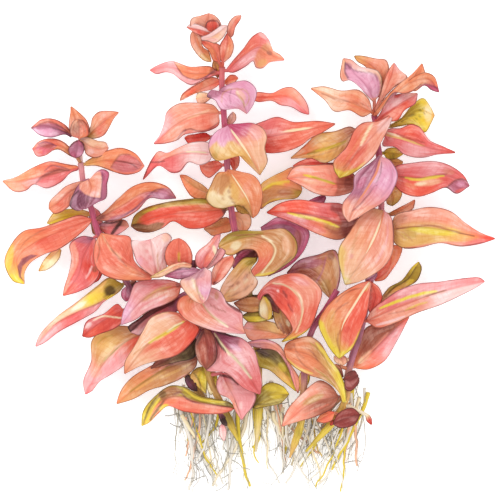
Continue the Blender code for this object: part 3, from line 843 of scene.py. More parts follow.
@dataclass(frozen=True)
class StemFinish:
    """A stem's skin: smooth, with fine streaks along it."""

    slot: Slot = Slot.STEM
    roughness: float = 0.42

    def make(self) -> bpy.types.Material:
        """Makes the material."""
        net = Net(bpy.data.materials.new(self.slot.value))
        wash, _ = net.painted("wash")
        uv = net.node("ShaderNodeUVMap", {}, {})
        streak_at = net.node("ShaderNodeMapping", {}, {"Vector": uv, "Scale": (14.0, 9.0, 1.0)})
        streak = net.noise(streak_at, 1.0, 3.0, 0.6)
        at = net.node("ShaderNodeTexCoord", {}, {}, "Object")
        grain = net.noise(at, 900.0, 3.0)
        colour = net.blend(net.step(0.45, 0.7, streak) * 0.5, wash, net.blend(1.0, wash, rgba(Tint.BROWN), "MULTIPLY"))
        colour = net.blend(net.step(0.5, 0.3, streak) * 0.3, colour, rgba(Tint.SALMON))
        colour = net.blend(net.step(0.5, 0.7, grain) * 0.2, colour, net.blend(1.0, colour, rgba(Tint.TAN), "MULTIPLY"))
        rough = grain * 0.2 + (self.roughness - 0.1)
        net.finish(colour, rough, streak * 0.6 + grain * 0.3, 0.1 * MM, {"Specular IOR Level": 0.4})
        return net.material


@dataclass(frozen=True)
class RootFinish:
    """The roots' skin: broad strands are pale, some yellow or pink; fine fibres are grey."""

    slot: Slot = Slot.ROOT
    roughness: float = 0.7

    def make(self) -> bpy.types.Material:
        """Makes the material."""
        net = Net(bpy.data.materials.new(self.slot.value))
        at = net.node("ShaderNodeTexCoord", {}, {}, "Object")
        grain = net.noise(at, 1900.0, 2.0)
        tone, hue, edge = (net.level(name) for name in ("tone", "hue", "edge"))
        broad = net.step(1.2, 2.6, tone)
        pale = net.blend(net.step(0.4, 0.5, hue), rgba(Tint.FIBRE, 1.14), rgba(Tint.CREAM, 1.1))
        pale = net.blend(net.step(0.64, 0.68, hue), pale, rgba(Tint.PEACH, 1.1))
        pale = net.blend(net.step(0.78, 0.8, hue), pale, rgba(Tint.YELLOW, 1.05))
        colour = net.blend(broad, net.blend(grain, rgba(Tint.FIBRE, 0.62), rgba(Tint.FIBRE, 0.4)), pale)
        colour = net.blend(net.step(0.72, 0.95, edge) * broad * 0.7, colour, rgba(Tint.FIBRE, 0.4))
        rough = grain * 0.2 + (self.roughness - 0.1)
        net.finish(colour, rough, grain, 0.05 * MM, {"Specular IOR Level": 0.3})
        return net.material


Skins = dict[Slot, bpy.types.Material]


@dataclass
class Spray:
    """One piece of foliage: a large leaf with its turned-over parts, or a bunch of small leaves."""

    name: str
    slot: Slot
    leaves: list[Leaf]

    @classmethod
    def read(cls, name: str, slot: str, text: str) -> "Spray":
        """Reads a piece of foliage.

        Args:
            name: Its node's name.
            slot: Its slot's word.
            text: Its leaves. The word large or small starts each leaf, and semicolons part the statements.

        Returns:
            The piece.
        """
        leaves: list[tuple[type[Leaf], list[str]]] = []
        for statement in text.split("; "):
            if statement in LEAF_KINDS:
                leaves.append((LEAF_KINDS[statement], []))
            else:
                leaves[-1][1].append(statement)
        return cls(name, Slot[slot.upper()], [kind.read(statements) for kind, statements in leaves])

    def build(self, stems: list[Stem], skins: Skins) -> bpy.types.Object:
        """Makes the piece, in place of the node of its name.

        Args:
            stems: Every stem of the plant, since a leaf may lean on its neighbour's.
            skins: The materials by slot.

        Returns:
            The piece.
        """
        shells = [shell for leaf in self.leaves for shell in leaf.shells(stems)]
        return settle(as_object(self.name + "_skin", shells, skins[self.slot]), self.name)


@dataclass
class Shoot:
    """One leafy shoot: its stem and its sprays."""

    name: str
    stem: Stem | None
    sprays: list[Spray]

    @classmethod
    def read(cls, name: str, text: str) -> "Shoot":
        """Reads a shoot.

        Args:
            name: Its name.
            text: Its stem and sprays, one a paragraph, each with its name and finish before a colon.

        Returns:
            The shoot.
        """
        stem, sprays = None, []
        for paragraph in text.strip().split("\n\n"):
            title, body = " ".join(paragraph.split()).split(": ", 1)
            what, words = title.split(" ", 1)
            if what == "stem":
                stem = Stem(f"{name}_stem", spots(body), tints(words))
            else:
                sprays.append(Spray.read(what, words, body))
        return cls(name, stem, sprays)

    def build(self, stems: list[Stem], skins: Skins) -> list[bpy.types.Object]:
        """Makes the shoot's pieces.

        Args:
            stems: Every stem of the plant.
            skins: The materials by slot.

        Returns:
            One object for the stem and one for each spray.
        """
        made = [spray.build(stems, skins) for spray in self.sprays]
        if self.stem:
            skin = as_object(self.stem.name + "_skin", [self.stem.shell()], skins[Slot.STEM])
            made.append(settle(skin, self.stem.name))
        return made


def settle(piece: bpy.types.Object, node: str) -> bpy.types.Object:
    """Puts a finished piece on the body in place of its node."""
    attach(piece, "root")
    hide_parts(node)
    return piece


# In left_leaf_7 the blush stroke from 92 266 to 86 278 is a painted highlight; in left_small_leaves the broad ink
# stroke from 122 221 to 111 235 is painted deep shade.
def left_shoot() -> Shoot:
    """The shoot on the left, with leaves whose mauve undersides show."""
    return Shoot.read("left", """
stem pink magenta magenta mauve plum olive olive gold olive: 81 163 10.3,84 185 10.8,91 207 11,99 234
10.4,114 262 9,130 287 8,163 343 6.8,193 384 6.6,212 412 5.4

left_leaf_1 coral: large; vein 78 168 10.6,50 175 11.5,22 181 7,2 181 .36; left 71 173,62 182,47 188.5,34
184.5,26 190.5,14 191.5; right 66 164,50 161.5,34 167,15 177; lift 1.2 -1; wash rose rose pink salmon orange
/ orange coral orange salmon; area rose .7 3: 37 184,42 176,50 169,58 166,70 172,62 179,52 184,44 186; area
brown .55 2.5: 39 181,45 174,52 169,60 168,69 171,60 173,50 176; oval pink: 48 183 18 6 10; line maroon: 36
184,42 177,50 173,60 170,70 171; line plum: 45 171,52 166,60 167,70 170; line coral 2: 34 184,27 188,22 184

left_leaf_2 coral: large; vein 86 164 10.8,105 161 12.5,128 163 11,144 166 7; left 97 155,110 150,122
148,136 154; right 96 166,106 169,115 172.5,127 175,139 172; lift -1 1.2; wash gold orange orange salmon /
gold orange coral salmon; area mauve .55 2.5: 111 168,115 161,120 155,128 154,136 158,142 164,140 169,134
172,124 173,116 171; area rose .6 3: 115 163,120 156,128 155,134 158,138 163,126 161; line maroon: 116
161,124 162,131 164,137 168; line brown: 111 168,116 160,121 155,130 155

left_leaf_3 coral: large; vein 88 183 12.2,71 192 14.2,58 203 13,49.5 209 12; left 82 196,73 204,63 211.5,55
214; right 78 182,67 186,58 193.5,50 202; lift -.6 -.6; wash salmon salmon coral orange / salmon salmon
salmon orange; line coral 3.5: 72 190,65 197,57 207; oval salmon: 56 208 10 6 0

left_leaf_4 peach: large; vein 89 180 13.2,92 188 16,89 198 17.4,86 209 15.4; left 97 172,104 169.5,109.5
173,108 184,107 198,98 203; right 80 184,75 192,70.5 206,78 211; lift .3 .3; wash mauve magenta mauve mauve
/ mauve mauve plum mauve / plum; area salmon .98 1: 80 184,90 178,98 172,101 172,103 180,102 190,101 198,92
197,86 195,80 189; oval orange: 93 184 8 13 0; oval blush: 96 194 10 6 0; area plum: 75 196,79 191,84 194,86
200,85 206,78 207,73 205; oval plum .35: 105 177 6 8 0; line plum 1.2 .75: 79 191,85 195,93 198,102 199;
line plum 1.1 .75: 103 172,103 184,102 198; line ink 1.3 .7: 71 207,74 197,79 191; line maroon: 87 197,91
204,93 198

left_leaf_5 coral: large; vein 91 220 11.2,62 231 12.5,36 242 11.2,17 259 6,23 284 .4; left 84 231,60 249,44
254.5,30 263,24 273; right 80 215,62 220.5,42 227.5,24 231,12 243,4 262,12 281; lift -.6 -.6; wash coral
coral coral orange gold / coral coral orange orange yellow; area plum: 38 255,30 259,22 266,20 276,24 282,18
277,17 266,22 258,31 254; oval yellow: 9 258 9 34 -12; oval yellow: 12 278 14 9 0; line brown 1 .4: 60
222,42 231,27 240,18 252; oval red .35: 48 240 30 7 20; oval salmon: 30 250 22 7 40

left_leaf_6 coral: large; vein 98 219 11.6,122 206 13.4,148 192 13.2,176 198 9.5; left 106 210.5,118 199,134
186,152 182,168 187; right 110 221.5,124 218.5,138 210.5,150 198.5,162 199.5; lift -.8 .8; wash brown orange
orange orange coral / brown coral coral mauve magenta; area mauve: 152 195,158 190,164 188,170 189,175
196,175 200,166 199; oval lilac: 163 194 12 7 0; area mauve .6: 108 221,122 218,136 211,146 202,150 197,140
206,126 213,112 217; line plum 1.4 .7: 104 222,120 218,135 209,146 199,156 190,163 189; oval maroon: 102 217
9 6 20; oval red .4: 128 207 26 7 35

left_leaf_7 rose: large; vein 94 238 11.9,84 256 11.3,78 276 9,63 295.5 4.5; left 97 249,96 262,100 272,93
284,78 292; right 82 236,70 244,71.5 258,69 272,64 287; lift -.8 .6; wash rose rose red rose rose coral /
mauve rose rose rose rose coral; area salmon: 75 241,69 246,71 258,69 271,65 284,62 295,66 292,72 278,79
264,79 254; oval mauve: 82 240 20 7 -10; oval plum .7: 91 238 9 5 0; line blush 2.6 .85: 92 266,90 272,86
278; oval scarlet .75: 93 276 14 9 50; oval brown .75: 95 269 6 7 0; line red 1 .4: 75 243,80 255,77 268,68
284; oval scarlet: 92 254 6 16 0; oval coral .4: 73 287 14 8 40

left_tip coral: small; vein 79 137 13.2,77 125 15,74 114 13.6,71.5 107 12; left 70 130,70 119,71 111; right
90 133,88 122,81 114,75 109; lift -.6 -.6; wash brown coral orange orange / brown coral orange orange; oval
ink .7: 91 130 5 6 0;
small; vein 80 138.5 16,80 130 17.4,79 120 16.2; left 72 136,71.5 127,75 121; right 89 136,88 126,84 121;
lift -.5 -.5; wash coral brown orange / orange coral brown; line brown: 75 133,76 126,80 122,85 126,86 133;
line brown: 78 131,80 127,83 130; oval ink .8: 91 130 4 6 0;
small; vein 87 137 13,98 127 14.5,108 119 12,118.5 112.5 9.6; left 90.5 128,93 118,99 112,110 111; right 95
139,104 136,110 127,114 119; lift -.5 -.5; wash tan orange salmon orange / olive coral orange salmon; line
coral 2.5: 97 134,103 126,106 118;
small; vein 72 136 13,58 129 15,45 125.5 12,31.5 128 9; left 66 135,52 138,40 135.5; right 67 126,55
119.5,42 119.5; lift .5 .4; wash plum mauve lilac lilac lilac / brown coral coral coral red; area mauve: 36
128,41 124,50 123,59 125,67 131,60 129,48 129,38 130; line plum 1.2 .7: 54 129,62 131,71 135; line maroon:
36 127,41 124,50 122,60 126,68 132; oval maroon: 33 128 5 4 0;
small; vein 77 157 12.5,66 149 14,52 145 11,32.5 149 8.4; left 70 156,60 150,54 150.5,46 155.5,37 156.5;
right 70 147,62 141,50 138.5,39 141.5; lift .5 .4; wash tan orange coral rose / tan orange coral coral
coral; area magenta .6: 36 148,39 144,46 142,54 144,57 147,51 152,45 155,39 156; oval brown: 47 146 18 6
-10; oval coral: 40 152 7 6 0; line plum 1.2 .7: 38 144,46 142,57 146; line olive 1.4: 57 149,66 155,75 158;
small; vein 80 138 13,90 146 14.5,100 149 13,108.5 148 10.6; left 90 138,98 141,106 142.5; right 84 147,87
155,95 158,104 155; lift -.4 -.4; wash blush peach peach salmon / peach salmon salmon salmon; oval coral
.35: 98 148 8 6 0; oval blush: 91 152 8 6 0;
small; vein 79 141 15.6,78 149 16.6,76 158 14; left 84 143.5,85 150,82 156; right 72.5 144,69 150,71 155.5;
lift -.6 -.6; wash magenta mauve lilac mauve / mauve mauve magenta / plum; line maroon 1.8 .85: 71 147,75
143,80 141,85 147,85 151

left_small_leaves olive: small; vein 90 214 8.2,68 216 7.8,47 223 6.8; left 72 223,55 226; right 82 209.5,68
209,54 212.5; lift -.2 -.2; wash gold yellow yellow / gold yellow gold / olive; oval gold: 66 212 22 4 5;
small; vein 60 249 6.8,50 259 6.2,38.5 271 4.8; left 59 259,48 269.5; right 52 251,43 261; lift -.2 -.2;
wash gold cream gold / peach gold gold / olive; oval cream: 46 262 10 5 45;
small; vein 99 226 8,113 226 8.4,129 226 7.8; left 106 221.5,119 219,126 220.5; right 104 233,114 236,124
231; lift -.2 -.2; wash mauve pink brown salmon / brown rose pink salmon / plum; line ink 4 .85: 122 221,117
227,111 235; line ink 1.6 .8: 99 222,110 223,120 221;
small; vein 96 262 6.6,92 274 6.4,84 286 5.6; left 103 267,99 280; right 88 263,83 275; lift -.2 -.2; wash
red red rose / rose red red;
small; vein 93 208 7.4,96 220 7.8,98 235 7.6; left 100 212,103 224,103 233; right 89 214,91 226,93 234; lift
-.2 -.2; wash pink rose pink / brown tan brown; line brown 1.6: 93 219,92 226,94 233
    """)


# In front_leaf_7 the salmon stroke from 192 350 to 160 369 is a painted highlight and the brown oval at 178 354 is
# painted shade; in front_leaf_8 the ink stroke from 216 337 to 226 351 beside the pale rib is painted shade; in
# front_tip the mauve area at the top of the hanging leaf from 206 268 is painted shade.
# In front_small_leaves, the ink, dark-olive and brown leaf from 200 329 to 151 368 is a painted shadow under the leaves
# above it; the ink-dark scraps at 187 375 and 220 412 are painted deep shade between the stems; the leaf from 204 328
# to 207 368 is a real leaf painted dark maroon as shade; and the maroon right half of the leaf from 189 291 is painted
# shade under front_leaf_2.
def front_shoot() -> Shoot:
    """The short shoot in front, which stands highest."""
    return Shoot.read("front", """
stem mauve mauve plum olive gold olive yellow: 188 289 28,192 305 25,197 326 20.6,204 356 14.2,212 384
10.2,226 414 6.6,238 441 4

front_leaf_1 coral: large; vein 153 278 30.2,136 268 29.6,117 254 26,102 233.5 19; left 137 280.5,116
279,101 272,95 260,96 243; right 146 270.5,136 261,133.5 248,131 237,115 235; lift -1.2 -1; wash coral
orange coral coral orange / coral coral coral coral orange; line peach 3.6 .75: 104 236,109 245,116 253,123
258; line brown: 112 249,120 258,128 266; line brown: 98 240,101 250,98 262; line coral 2 .4: 108 240,107
256,112 270; oval salmon: 118 270 36 9 -10; line brown: 153 277,146 272,137 264; oval coral .35: 122 242 14
8 0; oval brown .3: 143 275 14 5 -15

front_leaf_2 rose: large; vein 181 285 27.2,160 290 27,142 301 25,122 324 18.5; left 179 296,168 303,150
310,136 319.5; right 170 279.5,150 279.5,137 282,130 298,124 311; lift -.8 -.8; wash coral salmon pink pink
pink lilac / rose rose pink pink lilac lilac; oval tan: 158 292 42 9 28; oval coral .8: 173 285 16 8 10;
oval maroon: 179 284 6 8 0; line gold 1.4: 172 286,158 290,146 299; line blush 3 .7: 168 296,154 302,142
309; oval lilac: 128 312 7 18 20; oval rose .35: 150 283 26 5 0; line rose: 168 281,160 283,150 290

front_leaf_3 rose: large; vein 199 292 29.4,207 309 31,221 320.5 29.6,245 332.5 27; left 211 287,221 291,228
302,242 311.5,243 323; right 181 297,177.5 306,184 317,201 325.5,222 331.5; lift -.8 -.8; wash salmon pink
pink pink salmon / orange coral salmon pink pink; line cream 2 .9: 203 303,209 311,217 318,228 326; line
tan: 204 305,211 314,220 322; oval orange: 186 306 16 15 0; oval red: 181 313 6 14 -20; line brown: 211
304,217 308,226 311; line maroon 2.6 .9: 226 301,233 307,242 312; oval tan: 217 295 5 9 0; oval pink .4: 232
318 14 14 0; oval tan .4: 192 300 10 6 0; line blush 1.5 .4: 190 320,202 325,220 330,236 332

front_leaf_4 coral: large; vein 190 319 24.4,170 330 25.5,149 343.5 23.5,125 373 14; left 200 328,191
343,178 354,160 359.5,142 365; right 182 313,168 311,152 317,144 330,135 346,125.5 361; lift -1 -1; wash
scarlet scarlet coral peach orange / coral peach peach peach orange; line yellow 3.6 .95: 184 321,172
329,160 336,150 342; line cream 2.2 .85: 183 322,176 325,168 331; line tan: 150 342,142 348,134 354; oval
coral: 178 338 34 14 38; oval scarlet: 192 332 10 12 0; oval peach: 152 354 30 9 30; oval peach: 158 322 24
10 35; oval pink .35: 164 316 20 5 10; line red 2: 184 319,178 314,170 312; line red 1.2 .4: 197 333,186
346,172 355; line orange 1 .4: 160 332,150 339,143 344; line coral: 150 357,164 349,178 338

front_leaf_5 peach: large; vein 146 333 9.2,124 343 11,105 362 9,85 394.5 2.4; left 138 346,128 362,112
374,99 382,92 391; right 128 326,108 327,92 340,91 361,83 381; lift -.6 -1.2; wash coral coral pink pink
rose / tan tan gold tan pink pink; line olive 1.2 .7: 130 338,120 346,111 354,103 361; line peach 2.4: 134
335,124 342,116 348; oval pink: 118 362 28 9 40; oval scarlet: 137 343 12 14 40; oval gold: 104 340 22 14
45; line olive 1 .35: 113 335,103 338,96 346; oval salmon: 96 372 14 12 45; line rose: 86 391,90 385,98 382;
oval pink .4: 88 384 7 16 30

front_leaf_6 olive: large; vein 122.5 284.5 7.2,104 300.5 8.4,80 310.5 7,58 321.5 4,35 346.5 .4; left 118
293,104 302,96 311,78 321.5,58 332.5,44 343; right 109 277.5,97 286,76 302.5,55 318,39 335; lift -.4 -.4;
wash olive pink pink rose rose pink pink / olive gold yellow peach peach salmon pink; area olive .75 3: 126
282,118 279,108 279,104 286,103 297,106 301,114 297,121 291; oval dark_olive .9: 110 291 13 12 30; oval
yellow .7: 110 297 14 4 20; oval yellow: 96 298 22 8 30; oval cream .85: 79 306 18 5 30; oval peach: 62 314
24 5 35; line brown: 103 302,86 309,70 316,52 326; oval rose .4: 78 314 30 5 28; line tan 1.4: 104 283,92
292,78 302,60 315

front_leaf_7 peach: large; vein 197 358 13.2,165 369 11.8,141 384 8.5,116.5 404 1.6; left 196 367,182
378,165 385.5,150 390,134 399; right 184 352,165 359,150 366,131 378,120.5 391; lift -.6 -.6; wash brown tan
tan tan tan / brown brown orange tan orange; line salmon 3 .8: 192 350,180 356,168 363,160 369; oval brown
.7: 178 354 30 7 35; line maroon 1.6: 190 355,176 362,166 367; line olive 2: 170 366,156 374,142 383,130
392; line gold 3: 190 364,176 371,160 378; line gold 2: 166 371,150 381,136 390; oval pink .4: 182 377 16 4
25

front_leaf_8 rose: large; vein 213 330 21.4,228 350 23.4,246 371 21.5,260 393.5 16; left 230 334,243 338,254
349,258.5 364,262 381; right 213 341,217 354,206 369,226 372,244 388; lift -1 -1; wash mauve magenta pink
pink rose rose / mauve rose pink pink rose rose; area plum .6 3: 214 330,226 334,240 337,238 345,232 349,226
346,220 338; line ink 2.4 .8: 217 331,226 334,236 336; oval lilac .7: 236 347 14 6 -30; line cream 3.6 .95:
215 333,220 341,228 351,238 360,245 369,251 377; line ink 2.2 .75: 216 337,220 344,226 351; line brown: 232
353,242 363,251 376; line rose 4: 224 360,236 372,250 388; oval rose .35: 236 366 26 9 -45; oval pink: 216
364 18 7 15; oval red .7: 233 363 3 3 0; line rose 1.6: 244 346,252 362,256 382

front_leaf_9 rose: large; vein 222 373 13.2,231 391 13.4,242 419.5 10.4; left 234 375,245 386,256 394,253
406,247 413; right 216.5 382,219 393,230 399,236 412; lift -.8 .2; wash rose pink pink pink / rose pink
salmon pink; line maroon 3 .9: 219 375,227 376,233 379,238 384; oval blush .8: 241 405 4 9 0; oval salmon
.4: 228 386 14 10 -30; oval pink .4: 246 400 12 8 0

front_leaf_10 coral: large; vein 233 408 9.6,205 402.5 12.2,178 396 12.2,160 402 9,141.5 426 1.2; left 222
413.5,200 413.5,183 411,168 406,158 414,149 423; right 230 402,215 398.5,200 395,184 386.5,170 385.5,154
397,143 411; lift -.4 .4; wash coral coral coral coral orange yellow / olive olive olive olive yellow /
olive; area olive .9 1: 233 408,230 401,215 398,200 395,184 386,176 386,180 391,190 399,203 403,218 405;
line yellow 2.4 .75: 184 389,196 397,212 401,224 402; area brown .75 2.4: 183 390,176 386,168 387,160
392,158 398,165 401,172 398,180 394; oval dark_olive .7: 163 394 9 8 30; oval dark_olive .8: 228 404 9 5
-20; line dark_olive 1.8 .75: 156 398,149 409,144 421; line dark_olive 2.6 .8: 164 401,157 410,150 420; line
yellow 2 .7: 160 398,153 409,147 420; oval yellow .85: 164 407 12 6 35; line maroon 1.5 .75: 232 407,216
405,200 403,188 399,180 392,174 394; oval orange: 172 400 14 9 20; oval salmon: 200 406 44 7 -3; oval olive
.7: 143 422 5 8 20

front_tip rose: small; vein 158 277 33.4,156 263 35,153.5 250 35.4,152 239.5 33.6; left 148 271.5,139
263,134.5 251,133 241,143 241; right 168 268,166 256,169 246,173 238,168 233,160 235.5; lift -.5 -.5; wash
salmon pink blush pink / salmon blush blush blush; oval peach: 167 238 9 10 0; line rose: 157 273,150
263,142 256; line rose: 158 272,153 259,147 249; line tan: 159 271,159 259,157 247; line rose 1 .4: 161
270,164 259,165 246; oval lilac .35: 140 262 8 12 -30; line blush 2: 146 252,150 262,155 271;
small; vein 180 268 34.8,180 259 36.4,180 249 36.8,180 238.5 35; left 168.5 265,166 255,168.5 246,174 240;
right 191 266,193.5 257,191.5 249,186 241.5; lift -.6 -.6; wash coral coral coral / red coral coral; line
yellow 1.4 .7: 179 251,180 257,181 263; line red 1.2 .35: 176 246,175 254,176 262; oval red .35: 188 255 6
14 0;
small; vein 192 266 38,182 264 39,171 268.5 38,152 277 34.6; left 182 267.5,172 272,162 277; right 184
261.5,174 263.5,162 270.5; lift -.2 -.2; wash peach orange peach gold / orange coral gold gold; line cream
1.4: 186 263,177 265,167 270;
small; vein 201 271 37,185 271.5 37.6,166 275.5 36; left 192 276.5,180 279,172 277.5; right 194 267,182
267,173 270.5; lift -.2 -.2; wash lilac mauve magenta / mauve lilac magenta; line plum: 168 274,175 270,186
269,195 269; oval lilac: 188 273 10 4 0;
small; vein 203 269 36.4,206 257 37.8,213 247 37,220.5 234.5 34; left 197.5 266,196 256,200 250,208 244,215
236; right 210 264,216 255,219 246; lift -.5 -.5; wash rose pink coral rose / rose coral pink rose; line red
1.6: 202 263,207 254,214 243; oval cream .85: 215 250 4 11 15; oval rose: 209 263 9 4 30; line blush 1.4:
200 256,207 248,214 240;
small; vein 213 284 34,218 272 35.4,225 261 35,233 255.5 33.6; left 212 275,214 267,222 258.5; right 223
279,230 270,235 261; lift -.4 -.4; wash coral salmon coral salmon / coral coral salmon coral; oval maroon
.75: 216 283 7 5 0; line red 1 .4: 218 276,224 268,230 260;
small; vein 207 268 35,214 260 35.6,222 248 34.6; left 209 262,216 251; right 216 264.5,224 256.5,226 251;
lift -.2 -.2; wash pink blush pink / blush pink pink; line rose: 213 265,220 260,225 254;
small; vein 206 268 37.6,197.5 278 39,199 291 38,203 303 35.4; left 212 271,212.5 281,211 291,208 299; right
192 275.5,181 280.5,187 292.5,196 301; lift -.6 -.6; wash blush pink lilac salmon / mauve blush peach
salmon; area mauve .55 2.5: 206 267,198 271,190 274,183 277,187 280,197 279,205 276; line cream 1.8 .8: 193
278,196 285,200 292,204 298; line tan: 195 279,198 288,203 296; line peach 2.4: 184 282,189 291,196 298;
oval pink .4: 208 276 6 14 0

front_small_leaves mauve: small; vein 189 291 15,170 305 15.4,150 316 14.8,131 332 13.6; left 186 302,178
311,160 316,147 326,140 335; right 176 296,152 309,138 319,128 327; wash magenta mauve rose pink pink /
magenta maroon maroon maroon ink; oval mauve: 184 294 12 12 0; oval maroon .8: 171 303 10 9 0; oval maroon
.8: 134 327 10 6 25;
small; vein 124 310 14.6,104 320 14.6,83 336 13.6; left 123 322,116 328,100 334,90 337.5; right 118
303.5,104 313.5,87 321; wash red red red scarlet red / red scarlet rose rose red; line cream 1.4 .75: 124
318,115 317,104 316,94 320; oval blush .8: 89 325 9 5 45; oval red .7: 85 333 6 8 0; oval rose .4: 118 309
10 8 0;
small; vein 204 328 24.6,207 340 25.4,208 353 25,207 368.5 22.6; left 212 331,217 345,216.5 359; right 199
334,195.5 345,199 361; wash brown maroon brown / maroon brown brown / plum; oval red .25: 207 348 18 34 0;
line ink 2: 203 332,200 338,197 344;
small; vein 200 329 14.6,191 344 15,172 357 14.6,151 368 12; left 198 346,195 357,176 362; right 190 341,175
351,158 358.5; lift -.2 -.2; wash ink dark_olive brown / ink maroon brown / plum;
small; vein 127 287 8.6,126.5 294 9,126 301.5 8.4; left 131 291,131 297; right 121.5 291,121.5 297; lift -.2
-.2; wash plum mauve magenta / mauve magenta mauve / plum; oval lilac .4: 126 294 4 8 20;
small; vein 136 281 8.6,132 284.5 8.8,128 287.5 8.4; left 134 289; right 129 282.5; lift -.1 -.1; wash ink
maroon / brown ink / plum;
small; vein 195 260 28,195 264.5 28.4,194.5 269 28; left 198 263,197 267.5; right 192 262,191.5 267; lift
-.1 -.1; wash maroon maroon / plum maroon / plum;
small; vein 187 375.5 11,191 383 11.2,197 391 10.6; left 192.5 377,197 385; right 185 381,190 389; lift -.1
-.1; wash ink maroon ink / ink plum ink / plum;
small; vein 204 367 10.8,199 378 11.4,206 393 10.4; left 207 371,207 384; right 196 368,190 376,197 386;
lift -.2 -.2; wash olive yellow olive / olive gold yellow / olive; oval yellow .7: 200 376 7 12 0; line
dark_olive 1.6: 194 373,199 380,201 389;
small; vein 213 371 10.4,212 382 10.8,211 395 9.8; left 217 374,216 388; right 208 375,207 388; lift -.2
-.2; wash olive yellow cream / cream cream cream / olive; line olive 2: 215 373,214 384,214 393;
small; vein 220 412 7.4,223 419 7.4,226.5 426 6.6; left 225 415,227 421; right 218.5 416,222 424; lift -.1
-.1; wash mauve ink ink / mauve ink ink / plum;
small; vein 222 425 5.4,223 433 5,224 441 4; left 226.5 430,226 437; right 219 430,220 437; lift -.1 -.1;
wash pink blush blush / pink blush blush
    """)


